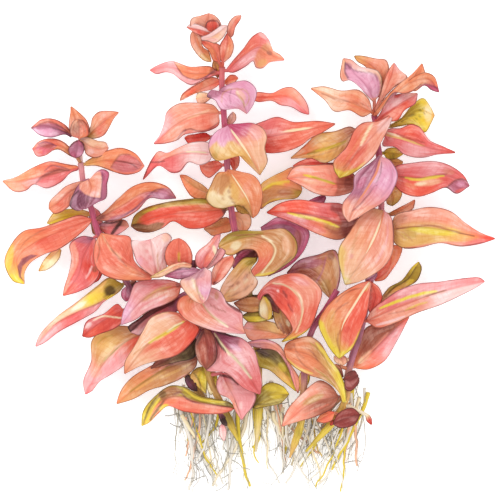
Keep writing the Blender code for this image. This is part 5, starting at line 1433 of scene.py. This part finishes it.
# In right_tip, the blush oval at 396 103 on the leaf from 377 121 is a painted highlight.
def right_shoot() -> Shoot:
    """The tall shoot on the right."""
    return Shoot.read("right", """
stem magenta magenta rose mauve mauve mauve mauve mauve gold yellow yellow: 374 115 11.4,376 130 11.6,379
160 12,381 208 12,371 276 11.6,362 324 11,349 369 9.8,346 398 8.2,336 418 6.6,306 452 3.4

right_leaf_1 rose: large; vein 385 135 12.6,404 140 14.2,428 148 12,455 152.5 8; left 389 129,400 128.5,410
124.5,419 127,429 140,443 146.5; right 382 146,394 147.5,404 155,420 158,438 154.5; lift -.6 -.6; wash rose
scarlet rose red / rose rose pink rose red; rib gold 1.2 0 .6; line cream 2 .8: 387 133,396 136,404 140;
line tan 1.8 .7: 400 137,412 142,424 146; oval pink: 410 148 24 7 -8; line maroon 1 .4: 396 134,410 139,424
143

right_leaf_2 coral: large; vein 390 117.5 14.8,374 135 18.5,355 156 18.6,339 178 14.2; left 389 127,381
142,373 157,361 168,350 175; right 378 121.5,362 123.5,354 130,346 147,333 162,334 171; lift -1 -1; wash
blush salmon salmon coral gold / coral salmon coral coral gold; area yellow .75 3: 335 177,333 168,344
172,356 168,365 162,359 170,348 176,341 179; line cream 3.4 .75: 372 124,367 132,363 140,360 146; oval
blush: 382 126 20 9 55; oval red: 361 151 20 8 50; line orange 3: 366 127,356 145,342 166; oval scarlet .4:
352 158 14 6 50; line red 2 .4: 378 122,368 125,358 124; line brown 1 .4: 360 147,350 160,343 168

right_leaf_3 peach: large; vein 357 131 10.4,338 144 8.4,318 151 7,291 158 4.5; left 351 144,340 155,325
163,308 158.5; right 350 126.5,335 131,317 134,305 145; lift -.4 -.4; wash brown tan gold gold peach / brown
tan gold orange gold / olive; line olive 5 .7: 346 141,336 146,324 149,308 154; line yellow 2.6: 340 143,328
148,316 151; oval brown: 350 131 14 9 0; line tan 1.4: 345 138,332 140,316 143; line tan: 310 157,322
154,335 150; oval peach: 300 152 14 5 20

right_leaf_4 coral: large; vein 357 184 11.2,335 184 12.4,312 178 12.2,287 178 8; left 351 192.5,334
196.5,316 194,301 186; right 352 172,334 165,314 165,294 167; lift -.4 -.6; wash maroon coral salmon salmon
coral / maroon coral salmon salmon salmon; area brown .75 3: 336 177,345 178,355 175,355 187,349 193,339
196,334 196,337 189,336 183; oval maroon .4: 348 184 10 14 0; line yellow 3 .85: 304 175,312 177,322 180,334
184; line olive: 312 177,324 180,336 184; oval blush: 304 170 22 5 0; oval peach: 310 182 18 4 -10; line
coral 2 .7: 316 187,327 187,336 188; line coral 2: 312 173,324 174,334 178; line maroon: 288 182,296 184,303
188

right_leaf_5 mauve: large; vein 380 157 14.8,375 174 18.5,364 192 21,352 210 21,348 222 20; left 389 160,397
174,394 187,385 201,369 211,357 218; right 370 163,354 176,352 190,342 204,342 214; lift -1.2 -.8; wash pink
lilac lilac pink salmon salmon / mauve mauve mauve mauve salmon salmon; rib orange 1.5 .06 .8; area salmon
.85 2.5: 342 206,347 199,350 206,352 210,362 207,376 205,368 212,357 219,349 223,343 214; line maroon: 381
163,380 172,375 186; line plum 1.4: 372 164,363 174,356 184; oval magenta: 361 183 16 7 60; line mauve 1.4
.35: 392 170,390 184,380 198; oval lilac: 385 180 8 22 -15; line rose: 352 206,355 210,362 208; line plum:
373 186,362 202,352 211

right_leaf_6 rose: large; vein 391 176 12.8,418 178 14.6,446 176 14,469 186 9.5; left 395 166.5,412 163,434
161.5,448 165,463 175; right 397 189,405 194.5,418 197,432 193,445 188,456 194; lift -.5 .6; wash rose rose
pink rose red / rose scarlet scarlet rose red; line brown 2.4: 400 177,415 179,430 177,446 174; line yellow
3.4 .85: 405 178,417 180,430 178,443 176; oval peach .8: 428 183 30 7 8; oval cream: 420 184 14 4 8; oval
orange: 410 186 14 5 -20; oval tan .3: 448 172 14 6 -10; line pink 4: 398 168,415 165,436 164; area mauve:
440 193,448 186,454 181,461 179,467 181,470 187,464 192,456 195,446 194; oval lilac: 460 184 10 6 10; oval
red .7: 460 191 14 5 15; oval plum: 446 192 8 4 20; line maroon 1.2 .7: 440 193,448 186,454 181,461 179,468
182

right_leaf_7 rose: large; vein 359 221 11.2,335 222 12.6,305 214.5 12.2,267 212.5 7; left 351 234,338
240,318 234.5,300 226,282 218.5; right 352 212,342 204,320 202.5,298 199.5,280 203; lift -.5 -.5; wash brown
brown orange rose rose scarlet / maroon red rose scarlet scarlet scarlet; area maroon .65 3: 331 204,342
204,344 213,350 221,359 217,353 229,346 238,339 233,342 223,337 214,330 210; oval brown: 334 230 24 9 -25;
oval gold .4: 330 226 18 6 -25; oval pink .85: 297 218 26 6 -18; oval rose: 318 229 20 7 -25; line yellow
3.4 .9: 288 213,300 216,314 219,326 222,338 227; line olive 2: 298 215,306 218,314 220; line maroon 1 .4:
290 212,305 214,322 217,336 221; line dark_olive: 276 217,288 221,300 226

right_leaf_8 peach: large; vein 383 211 14.6,376 232 17.4,364 256 18,345 284.5 14; left 391 218,393.5
236,391 255,384 266,372 275,358 282; right 373 208.5,360 216,349 232,339 247,338 260,341 273; lift -1 -1;
wash pink salmon salmon salmon peach peach / tan salmon orange peach peach cream; rib cream 1.3 .15 .62;
area yellow .5 3: 337 248,341 244,345 252,344 262,344 276,351 280,349 285,341 285,339 275,337 260; oval
cream: 346 281 10 5 0; line orange 2.6 .85: 383 213,380 224,377 233; line tan 3 .4: 360 226,354 242,350 256;
oval pink: 351 256 5 6 0; line pink 2.6: 387 224,386 240,376 262; line tan 1.2 .4: 364 262,356 270,349 274;
line maroon 1.8: 392 219,393 234,393 247; oval gold .4: 344 254 7 18 0; line salmon 1.6: 372 228,364 246,357
262

right_leaf_9 peach: large; vein 391 229 12.8,425 228 14.2,460 233.5 9,495.5 238.5 .38; left 395 215,410
210.5,430 207,450 211,465 222.5,482 233; right 394 243,404 248.5,420 247.5,440 243,460 246.5,480 244; lift
-.5 -.5; wash tan salmon salmon salmon coral red / tan gold gold gold coral red; area gold .6 6: 399 226,412
221,432 222,448 225,462 231,478 237,462 239,448 238,436 241,424 245,408 246,399 242,396 234; oval yellow
.85: 430 231 54 8 -7; oval olive .35: 409 234 18 12 0; oval yellow: 452 231 20 5 -12; oval brown .4: 401 218
14 10 20; line brown 1.2 .8: 396 229,410 227,430 226,446 229,460 233,474 236; line orange: 425 222,436
221,450 222; line tan 1.1 .7: 402 231,407 236,412 241; line tan: 399 234,405 240; area rose .75 2.4: 400
248,412 249,424 248,438 244,452 245,466 247,484 244,496 239,480 239,464 242,446 241,430 243,415 246; oval
red .8: 490 239 14 6 -8; line maroon: 404 248,420 248,436 244,460 246,484 242

right_leaf_10 rose: large; vein 367 321 12.8,400 306 14.6,440 292 11,485 281.5 3; left 371 310,382 301,398
290,416 284,440 281.5,466 278,480 277.5; right 378 328,396 322.5,415 313.5,440 305,460 296,476 288; lift -.5
-.5; wash coral rose pink pink pink rose / coral salmon salmon blush blush pink; oval orange .35: 378 312 24
12 30; line yellow 3.6 .95: 380 308,392 303,406 298,420 294,436 291; line coral 3.2: 394 307,410 302,428
297; line yellow 2: 405 310,416 305,426 302; line tan 2: 414 299,428 295,444 291; oval blush .75: 455 294 50
8 18; line blush 3 .8: 376 325,390 321,404 316; line brown 1 .4: 388 314,402 311,414 308; line brown: 426
296,438 292,446 290; oval pink .4: 410 291 50 6 14

right_leaf_11 peach: large; vein 355 367 7.4,374 350 7.4,391 333 7.6,409 317 5; left 354 355,360 338,367
327,390 321; right 368 369.5,384 361.5,396 343,404 328; lift -.5 -.5; wash orange brown brown brown coral /
orange coral pink pink coral; oval peach .8: 365 357 20 7 45; oval cream: 361 361 9 5 45; line salmon 2: 361
362,374 348,388 333; line brown 2: 375 338,368 350,362 356; oval rose .4: 384 344 22 9 55; line orange 2:
358 367,370 369,382 362; oval maroon .35: 384 327 26 5 12

right_tip coral: small; vein 374 101 13.6,365 86 16,354 74 14.6,343 59 12; left 367 97,358 87,349 81,342
82,339.5 77,341 66; right 380 94,382 82,378 72,370 69,360 67,351 60; lift .6 -.3; wash salmon blush salmon
peach / salmon peach blush salmon; area lilac .95: 345 63,349 66,355 71,362 73,372 74,378 78,380 87,378
97,371 99,362 92,355 84,347 80,344 71; oval mauve .7: 348 67 9 8 -45; oval mauve .35: 374 78 12 9 -30; line
plum: 345 64,349 67,356 72,366 73,375 76,380 84; line ink: 345 63,345 72,348 80; line mauve: 362 76,369
86,371 94;
small; vein 380 98 12.6,381 80 13.4,371 66 12.8,354 56.5 12.2; left 374 82,366 68,357 62; right 384 90,389
74,386 60.5,376 59,362 56; wash coral orange orange gold / coral orange salmon gold; line salmon 2: 384
88,386 74,384 64;
small; vein 380 101 15.4,386 88 17.2,391 76 15,394 63.5 11.4; left 380 94,384 80,389 69; right 386 96,395
87,407 78,399 70; lift .4 -.4; wash salmon salmon coral salmon / salmon salmon salmon pink; line coral: 382
98,388 84,391 72; line coral 1 .4: 386 95,393 84,400 77;
small; vein 376 114 15.4,390 98 17.6,408 84 17,422 64 10.4; left 380 104,395 87.5,411 75; right 383 107,393
93.5,405 94.5,415 90,425 78; lift -.4 .5; wash orange orange orange orange / orange peach orange orange;
line coral 2: 393 93,402 94,412 91; line peach 2 .4: 380 110,392 96,408 87;
small; vein 405 86 16.8,418 80 16.4,430 80.5 13,438.5 92 9.4; left 414 77,425 73,434 77; right 414 92,424
86,431 90.5; wash orange orange orange coral / orange orange magenta; area magenta .85 1: 416 89,424 84,431
85,440 88,438 95,434 95,430 91,424 87; line maroon: 417 89,424 84,431 86,439 89;
small; vein 377 121 13.4,390 111 15,403 102 14.4,417 94 11.6; left 381 111,387 99,400 94; right 387 122,397
121,404 111,415 104; lift -.4 -.4; wash red pink pink salmon / red coral scarlet pink; line red 1.8 .7: 378
119,390 111,405 104; oval red .7: 397 96 8 5 30; oval blush: 396 103 14 6 40; oval scarlet: 398 116 12 8 45;
small; vein 371 112 14.6,352 104 16.6,332 97 13,311 88.5 9.4; left 362 117.5,349 111,334 112,325 101; right
368 99,358 90.5,341 91,324 86.5; lift -.5 -.5; wash orange orange peach orange / salmon orange peach peach;
line brown: 322 94,340 101,355 103,369 107; line coral 1.4: 350 95,360 101,369 109; line coral: 345 104,357
109,366 113; oval coral .35: 350 100 22 7 -20

right_small_leaves olive: small; vein 390.5 126.5 7.9,405 117 8,420 110 7.6,434.5 116 7; left 400 119.5,411
106.5,423 98,431 107.5; right 402 126,414 124.5,425 132.5,431 123.5; wash olive olive yellow gold / olive
yellow yellow gold / olive; oval olive: 414 110 20 10 40; oval cream: 428 113 9 20 0; line dark_olive: 401
122,412 115,424 108; line dark_olive 1 .4: 414 121,420 116,426 112;
small; vein 302 191 5.8,286 187 5.6,272 186 5.2,261 193 4.3; left 297 198,280 200,268 204,261 209; right 294
167,282 171.5,269 178,261 184; lift -.2 -.2; wash olive tan tan tan / tan orange gold gold / olive; line
yellow 3.4 .8: 262 190,273 184,289 182; oval brown: 285 192 18 8 0; line yellow 1.4: 263 206,272 200,290
199; oval olive .4: 299 193 10 7 0;
small; vein 334 164.5 6.8,315 163 7.2,293 166 6.2; left 320 167.5,305 168; right 322 162.5,311 158,300 161;
lift -.2 -.2; wash brown red coral / maroon red coral;
small; vein 384 153 8.3,392 153 8.8,403 154 8; left 387 148.5,394 147.5,400 150; right 387 159,395 159; lift
-.2 -.2; wash olive yellow gold / yellow olive yellow / olive;
small; vein 388 160 7.6,396 162 7.8,403 162 7.4; left 396 158; right 393 166.5,400 166.5; lift -.2 -.2; wash
tan gold tan / tan tan gold / olive;
small; vein 387 190 8.3,393 196 8.6,392 206 8; left 395 185.5,402 193,399 201; right 386 197,387 204; lift
-.2 -.2; wash tan gold olive / gold tan olive / olive;
small; vein 325.5 196 6.2,319 200 6.2,309 201 5.4; left 323 204; right 317 196.5; lift -.1 -.1; wash mauve
mauve / plum magenta;
small; vein 386 245 7.7,391 258 7.8,388 270 7.4,375 281 6.8; left 402 247,400 257,393 269,384 280; right 380
250,380 262,376 274; lift -.2 -.2; wash orange orange coral orange / coral coral red; line salmon 2: 397
249,395 260,386 272;
small; vein 390 214.5 8.2,402 210 8.2,415 200 7.4; left 398 208,408 203; right 403 214,413 209; lift -.2
-.2; wash tan orange peach / tan peach orange / olive;
small; vein 381 301 7,392 290 7.2,407 280 7,419 262 6.7; left 389 287.5,402 280,412 267; right 392 295,407
287,417 281,422 268; lift -.2 -.2; wash tan olive olive yellow / tan gold olive olive / olive; line
dark_olive: 385 297,396 286,408 279,416 267; oval yellow: 410 282 10 5 30;
small; vein 371 283 13.4,375 296 13.5,370 313 13; left 379 287.5,382 298,377 308; right 366.5 290,366 304;
lift -.2 -.2; wash coral red red / coral red red; oval red: 372 300 8 18 0; line maroon: 371 286,368 296,367
308;
small; vein 376 274 13.2,371 277.5 13.4,365 280.5 13; left 373 281; right 370 274; lift -.1 -.1; wash mauve
magenta / mauve lilac / plum
    """)


def low_leaves() -> Shoot:
    """The leaves between the stems' feet, which stand on the inner and right stems."""
    return Shoot.read("low", """
low_leaf_1 peach: large; vein 344.2 401 11.2,333 378 14,312 356 15,284 349 12; left 338 391,324 380,309
375,295 367.5,286 358.5; right 345 387,339 371,329 357,320 342.5,309 336,295 338.5,286 343; lift -.2 -.6;
wash yellow gold tan orange orange orange / yellow yellow gold tan orange orange / olive; line yellow 5 .75:
316 343,326 355,335 368,342 382,345 398; line yellow 3: 287 359,298 368,312 373; line brown 1.6 .7: 294
343,297 352,304 358; line brown: 302 346,312 352,318 361; line brown: 296 354,303 364,314 371; line olive:
310 342,322 354,330 368; oval orange: 302 352 22 14 -30; oval brown: 290 346 10 8 0; oval tan .7: 330 379 16
7 -50; line olive: 335 386,325 376,314 368

low_leaf_2 peach: large; vein 338 396.5 10.2,312 403 12,282 426 8.6; left 332 408,314 417,296 422; right 331
385.5,319.5 380,303 392,287 410; wash brown brown salmon salmon / brown salmon salmon salmon; oval olive:
313 399 26 8 25; line tan 2 .4: 326 388,314 396,300 408; line coral 2 .4: 328 404,312 411,296 418; oval
coral .35: 296 412 18 8 45; line brown 1.6: 332 388,325 383,317 382

low_small_leaves mauve: small; vein 344 379 12.4,351 379 12.6,358 375 12.2; left 345 389,350 391,359 382;
right 345 374.5,354 370; lift -.1 -.1; wash brown red brown / red brown red / maroon; oval red: 350 380 9 10
40;
small; vein 335 365 11.6,339 370 11.8,343 377 11.4; left 341 367.5; right 336 373.5; lift -.1 -.1; wash
orange brown brown / brown brown / maroon;
small; vein 331 424 10.4,346 418 10.6,361 414.5 9.6; left 340 428,355 424; right 338 413,352 407.5; lift -.1
-.1; wash red red brown / red scarlet red / maroon; oval red .4: 346 418 26 16 25; oval scarlet .4: 340 422
10 6 25;
small; vein 334 413 9.9,326 416 9.8,316.5 421 9.1; left 332 420.5,324 423; right 328 410.5,321 414; lift -.1
-.1; wash orange coral orange / scarlet orange orange;
small; vein 367 415 9.7,369 419 9.7,371.5 424.5 9.4; left 371.5 418; right 366.5 421; lift -.1 -.1; wash
cream red red / cream red red;
small; vein 334 357 12.4,341 360 12.6,343 365 12.2; left 345 356,347 362; right 335 362; lift -.1 -.1; wash
peach salmon peach / peach peach
    """)


ROOT_ROUTES = {
    "left_roots": (
        ((178, 408, 4.6), (177, 430, 2.4), (175, 452, 1.2), (174, 475, 0.5)),
        ((195, 410, 4.4), (195, 432, 2.6), (195, 455, 1.6), (198, 480, 0.8), (191, 495, 0.4)),
        ((214, 412, 4.6), (212, 436, 2.2), (217, 460, 1.0), (213, 484, 0.5)),
        ((230, 424, 4.6), (237, 442, 2.8), (244, 460, 1.4), (243, 492, 0.5)),
        ((236, 430, 4.0), (229, 450, 2.0), (224, 468, 1.0), (226, 487, 0.5)),
    ),
    "right_roots": (
        ((296, 438, 4.4), (303, 455, 2.4), (309, 472, 1.2), (308, 491, 0.5)),
        ((296, 446, 3.6), (290, 462, 2.0), (280, 476, 1.0), (270, 488, 0.5)),
        ((332, 424, 5.0), (331, 446, 2.6), (330, 470, 1.2), (321, 492, 0.5)),
        ((354, 384, 7.4), (361, 406, 4.4), (366, 440, 1.8), (363, 458, 1.0), (355, 476, 0.5)),
        ((346, 396, 7.0), (349, 424, 3.4), (343, 452, 1.4), (346, 478, 0.5)),
    ),
}


@dataclass
class Roots:
    """A mat of pale root strands and fine fibres with side hairs, spread from the stems' feet."""

    name: str
    routes: tuple[tuple[Spot3, ...], ...]
    feet: tuple[Spot3, ...]
    low: Spot2
    high: Spot2
    seed: int
    fibres: int = 84
    radius: float = 0.12 * MM
    step: float = 1.2 * MM
    broad: float = 0.42

    def wandering(self, chance: np.random.Generator) -> list[tuple[float, float, float]]:
        """One fibre's places from a foot, down the sheet and to the floor.

        Args:
            chance: The source of its turns.

        Returns:
            The places, as grid x, grid y and height.
        """
        x, y, height = self.feet[chance.integers(len(self.feet))]
        x += chance.normal(0.0, 6.0)
        y += chance.normal(0.0, 6.0)
        goal = chance.uniform(self.low[0], self.high[0]) * 0.45 + x * 0.55
        reach = chance.uniform(0.35, 1.0)
        end = y + (self.high[1] - y) * reach
        count = 6
        bend = chance.normal(0.0, 4.0)
        rest = chance.uniform(0.5, 1.7)
        spots = []
        for i in range(count):
            share = i / (count - 1)
            side = (goal - x) * share**1.5 + bend * math.sin(math.pi * share) + chance.normal(0.0, 1.2) * share
            down = (end - y) * share
            drop = height * (1 - share) ** 2.2 + rest * (1 - (1 - share) ** 2.2)
            spots.append((min(max(x + side, self.low[0]), self.high[0]), min(y + down, self.high[1]), drop))
        return spots

    def guides(self) -> bpy.types.Object:
        """The fibres' middles, as one curve object."""
        chance = np.random.default_rng(self.seed)
        curve = bpy.data.curves.new(self.name, "CURVE")
        curve.dimensions = "3D"
        routes = [(list(route), 1.5) for route in self.routes]
        for _ in range(self.fibres):
            wide = chance.uniform(3.2, 7.0) if chance.random() < self.broad else chance.uniform(0.7, 1.1)
            routes.append((self.wandering(chance), wide))
        for route, wide in routes:
            points = through([place(*spot) for spot in route], 22)
            spline = curve.splines.new("POLY")
            spline.points.add(len(points) - 1)
            spline.points.foreach_set("co", np.column_stack([points, np.ones(len(points))]).ravel())
            spline.points.foreach_set("radius", np.full(len(points), wide))
        obj = bpy.data.objects.new(self.name + "_skin", curve)
        bpy.context.scene.collection.objects.link(obj)
        return obj

    def build(self, skins: Skins) -> bpy.types.Object:
        """Grows the fibres and hairs along the guides and makes them one mesh.

        Args:
            skins: The materials by slot.

        Returns:
            The piece.
        """
        guides = self.guides()
        tree = root_tree(skins[Slot.ROOT])
        modifier = guides.modifiers.new("fibres", "NODES")
        modifier.node_group = tree
        sizes = {"Radius": self.radius, "Step": self.step, "Seed": self.seed}
        for item in tree.interface.items_tree:
            if item.name in sizes:
                modifier[item.identifier] = sizes[item.name]
        bpy.context.view_layer.update()
        evaluated = guides.evaluated_get(bpy.context.evaluated_depsgraph_get())
        mesh = bpy.data.meshes.new_from_object(evaluated)
        name = guides.name
        bpy.data.objects.remove(guides)
        piece = bpy.data.objects.new(name, mesh)
        bpy.context.scene.collection.objects.link(piece)
        return settle(piece, self.name)


@dataclass
class Growth:
    """A geometry node tree under construction."""

    tree: bpy.types.NodeTree

    def add(self, kind: str, settings: dict, values: dict) -> bpy.types.Node:
        """Adds a node.

        Args:
            kind: The node's type.
            settings: The node's own settings, which are set first.
            values: Sockets or numbers for its inputs, by name or number.

        Returns:
            The node.
        """
        node = self.tree.nodes.new(kind)
        for name, value in settings.items():
            setattr(node, name, value)
        for name, value in values.items():
            if isinstance(value, bpy.types.NodeSocket):
                self.tree.links.new(value, node.inputs[name])
            else:
                node.inputs[name].default_value = value
        return node


def root_tree(skin: bpy.types.Material) -> bpy.types.NodeTree:
    """The rule that turns guides into wavy tapered fibres with side hairs.

    Args:
        skin: The material to set.

    Returns:
        The geometry node tree, with inputs Radius, Step and Seed.
    """
    tree = bpy.data.node_groups.new("root fibres", "GeometryNodeTree")
    face = tree.interface
    face.new_socket("Geometry", in_out="INPUT", socket_type="NodeSocketGeometry")
    face.new_socket("Radius", in_out="INPUT", socket_type="NodeSocketFloat")
    face.new_socket("Step", in_out="INPUT", socket_type="NodeSocketFloat")
    face.new_socket("Seed", in_out="INPUT", socket_type="NodeSocketInt")
    face.new_socket("Geometry", in_out="OUTPUT", socket_type="NodeSocketGeometry")
    grow = Growth(tree)
    given = grow.add("NodeGroupInput", {}, {}).outputs
    even = grow.add(
        "GeometryNodeResampleCurve", {"mode": "LENGTH"}, {"Curve": given["Geometry"], "Length": given["Step"]}
    )
    along = grow.add("GeometryNodeSplineParameter", {}, {}).outputs["Factor"]
    here = grow.add("GeometryNodeInputPosition", {}, {}).outputs[0]
    turn = grow.add("ShaderNodeTexNoise", {"noise_dimensions": "4D"}, {"Vector": here, "Scale": 230.0})
    grow.tree.links.new(given["Seed"], turn.inputs["W"])
    centred = grow.add("ShaderNodeVectorMath", {"operation": "SUBTRACT"}, {0: turn.outputs["Color"], 1: (0.5, 0.5, 0.5)})
    flat = grow.add("ShaderNodeVectorMath", {"operation": "MULTIPLY"}, {0: centred.outputs[0], 1: (0.0032, 0.002, 0.0)})
    loose = grow.add("ShaderNodeVectorMath", {"operation": "SCALE"}, {0: flat.outputs[0], "Scale": along})
    moved = grow.add("GeometryNodeSetPosition", {}, {"Geometry": even.outputs[0], "Offset": loose.outputs[0]})
    wide = grow.add("GeometryNodeInputRadius", {}, {}).outputs[0]
    upright = grow.add("GeometryNodeSetCurveNormal", {"mode": "Z_UP"}, {"Curve": moved.outputs[0]})
    toned = grow.add("GeometryNodeStoreNamedAttribute", {}, {0: upright.outputs[0], "Name": "tone", "Value": wide})
    hue = grow.add("FunctionNodeRandomValue", {}, {"Seed": given["Seed"]})
    drawn = grow.add(
        "GeometryNodeStoreNamedAttribute",
        {"domain": "CURVE"},
        {0: toned.outputs[0], "Name": "hue", "Value": hue.outputs[1]},
    )
    taper = grow.add("ShaderNodeMapRange", {}, {"Value": along, "To Min": 1.0, "To Max": 0.5})
    scale = grow.add("ShaderNodeMath", {"operation": "MULTIPLY"}, {0: taper.outputs[0], 1: wide})
    ring = grow.add("GeometryNodeCurvePrimitiveCircle", {}, {"Resolution": 8, "Radius": given["Radius"]})
    across = grow.add("ShaderNodeSeparateXYZ", {}, {0: here})
    share = grow.add("ShaderNodeMath", {"operation": "DIVIDE"}, {0: across.outputs[0], 1: given["Radius"]})
    side = grow.add("ShaderNodeMath", {"operation": "ABSOLUTE"}, {0: share.outputs[0]})
    edged = grow.add(
        "GeometryNodeStoreNamedAttribute", {}, {0: ring.outputs[0], "Name": "edge", "Value": side.outputs[0]}
    )
    fibre = grow.add(
        "GeometryNodeCurveToMesh",
        {},
        {"Curve": drawn.outputs[0], "Profile Curve": edged.outputs[0], "Fill Caps": True, "Scale": scale.outputs[0]},
    )
    spots = grow.add(
        "GeometryNodeCurveToPoints", {"mode": "LENGTH"}, {"Curve": moved.outputs[0], "Length": given["Step"]}
    )
    pick = grow.add("FunctionNodeRandomValue", {"data_type": "BOOLEAN"}, {"Probability": 0.045, "Seed": given["Seed"]})
    angle = grow.add(
        "FunctionNodeRandomValue",
        {"data_type": "FLOAT_VECTOR"},
        {0: (-1.35, -0.25, -3.1), 1: (-1.75, 0.25, 3.1), "Seed": given["Seed"]},
    )
    size = grow.add("FunctionNodeRandomValue", {}, {2: 0.8, 3: 2.2, "Seed": given["Seed"]})
    hair = grow.add(
        "GeometryNodeCurvePrimitiveBezierSegment",
        {},
        {"Resolution": 4, "Start": (0, 0, 0), "End": (0.0004, 0, 0.0026), "Start Handle": (0, 0, 0.001), "End Handle": (0, 0, 0.002)},
    )
    thin = grow.add("GeometryNodeCurvePrimitiveCircle", {}, {"Resolution": 4, "Radius": 0.00007})
    hair_skin = grow.add(
        "GeometryNodeCurveToMesh", {}, {"Curve": hair.outputs[0], "Profile Curve": thin.outputs[0], "Fill Caps": True}
    )
    hairs = grow.add(
        "GeometryNodeInstanceOnPoints",
        {},
        {"Points": spots.outputs[0], "Selection": pick.outputs[3], "Instance": hair_skin.outputs[0]},
    )
    grow.tree.links.new(angle.outputs[0], hairs.inputs["Rotation"])
    grow.tree.links.new(size.outputs[1], hairs.inputs["Scale"])
    whole = grow.add("GeometryNodeJoinGeometry", {}, {})
    for part in (fibre.outputs[0], hairs.outputs[0]):
        grow.tree.links.new(part, whole.inputs[0])
    real = grow.add("GeometryNodeRealizeInstances", {}, {"Geometry": whole.outputs[0]})
    smooth = grow.add("GeometryNodeSetShadeSmooth", {}, {"Geometry": real.outputs[0]})
    done = grow.add("GeometryNodeSetMaterial", {}, {"Geometry": smooth.outputs[0], "Material": skin})
    out = grow.add("NodeGroupOutput", {}, {})
    grow.tree.links.new(done.outputs[0], out.inputs[0])
    return tree


@dataclass
class Studio:
    """The pale floor, the soft lights and the camera that looks straight down."""

    lens: float = 400.0
    sensor: float = 36.0
    focus_height: float = 8.0 * MM
    floor_size: float = 4.0
    floor_glow: float = 0.42

    def floor(self) -> bpy.types.Object:
        """The flat pale surface under the plant."""
        reach = self.floor_size / 2
        mesh = bpy.data.meshes.new("floor")
        corners = [(-reach, -reach, 0), (reach, -reach, 0), (reach, reach, 0), (-reach, reach, 0)]
        mesh.from_pydata(corners, [], [(0, 1, 2, 3)])
        net = Net(bpy.data.materials.new("paper floor"))
        at = net.node("ShaderNodeTexCoord", {}, {}, "Object")
        grain = net.noise(at, 40.0)
        colour = net.blend(grain, (0.96, 0.96, 0.957, 1), (0.945, 0.945, 0.94, 1))
        light = {"Specular IOR Level": 0.1, "Emission Color": colour, "Emission Strength": self.floor_glow}
        net.finish(colour, grain * 0.1 + 0.75, grain, 0.01 * MM, light)
        mesh.materials.append(net.material)
        obj = bpy.data.objects.new("floor", mesh)
        bpy.context.scene.collection.objects.link(obj)
        return obj

    def light(self, name: str, at: Spot3, size: float, power: float) -> None:
        """Adds a square soft light that faces the plant.

        Args:
            name: The light's name.
            at: Where it stands, in metres.
            size: Its side, in metres.
            power: Its power in watts.
        """
        data = bpy.data.lights.new(name, "AREA")
        data.size = size
        data.energy = power
        lamp = bpy.data.objects.new(name, data)
        lamp.location = at
        lamp.rotation_euler = (-lamp.location).to_track_quat("-Z", "Y").to_euler()
        bpy.context.scene.collection.objects.link(lamp)

    def camera(self) -> None:
        """Adds the camera above the middle of the sheet."""
        data = bpy.data.cameras.new("camera")
        data.lens = self.lens
        data.sensor_width = self.sensor
        wide = SHEET_STEPS * GRID
        away = wide * self.lens / self.sensor + self.focus_height
        data.clip_start, data.clip_end = 0.05, 20.0
        obj = bpy.data.objects.new("camera", data)
        x, y, _ = place(*SHEET_MIDDLE)
        obj.location = (x, y, away)
        bpy.context.scene.collection.objects.link(obj)
        bpy.context.scene.camera = obj

    def build(self) -> None:
        """Sets the whole studio up."""
        scene = bpy.context.scene
        scene.view_settings.view_transform = "Standard"
        world = bpy.data.worlds.new("studio")
        world.use_nodes = True
        sky = world.node_tree.nodes["Background"]
        sky.inputs["Color"].default_value = (1.0, 1.0, 1.0, 1.0)
        sky.inputs["Strength"].default_value = 1.08
        scene.world = world
        self.floor()
        self.light("key light", (-0.5, 0.45, 0.8), 0.5, 2.6)
        self.light("fill light", (0.6, -0.5, 0.7), 0.7, 0.8)
        self.camera()


def skins() -> Skins:
    """Makes every finish of the plant."""
    finishes = [
        LeafFinish(Slot.CORAL),
        LeafFinish(Slot.ROSE, light_strokes=0.8),
        LeafFinish(Slot.PEACH, dark_strokes=0.5),
        LeafFinish(Slot.OLIVE, roughness=0.55, dark_strokes=0.6),
        LeafFinish(Slot.MAUVE, roughness=0.46),
        StemFinish(),
        RootFinish(),
    ]
    return {finish.slot: finish.make() for finish in finishes}


def main() -> None:
    """Builds the studio, the shoots and the roots, and reports each piece."""
    logging.basicConfig(level=logging.INFO, format="%(message)s")
    Studio().build()
    materials = skins()
    shoots = [left_shoot(), front_shoot(), centre_shoot(), inner_shoot(), right_shoot(), low_leaves()]
    stems = [shoot.stem for shoot in shoots if shoot.stem]
    pieces = [piece for shoot in shoots for piece in shoot.build(stems, materials)]
    left_feet = spots("178 402 3.6,190 390 4,200 398 4.6,214 402 4.6,232 408 4,246 404 3.4,256 392 3.6")
    right_feet = spots("266 386 3.4,278 402 3.6,292 410 4,304 400 4.4,320 416 4.4,338 412 5,350 392 5.6,358 390 5.6")
    mats = [
        Roots("left_roots", ROOT_ROUTES["left_roots"], left_feet, (166, 376), (262, 495), seed=3),
        Roots("right_roots", ROOT_ROUTES["right_roots"], right_feet, (252, 372), (371, 493), seed=8),
    ]
    pieces += [mat.build(materials) for mat in mats]
    for piece in pieces:
        log.info("%s: %d faces", piece.name, len(piece.data.polygons))
    log.info("%d pieces, %d faces", len(pieces), sum(len(piece.data.polygons) for piece in pieces))


if __name__ == "__main__":
    main()
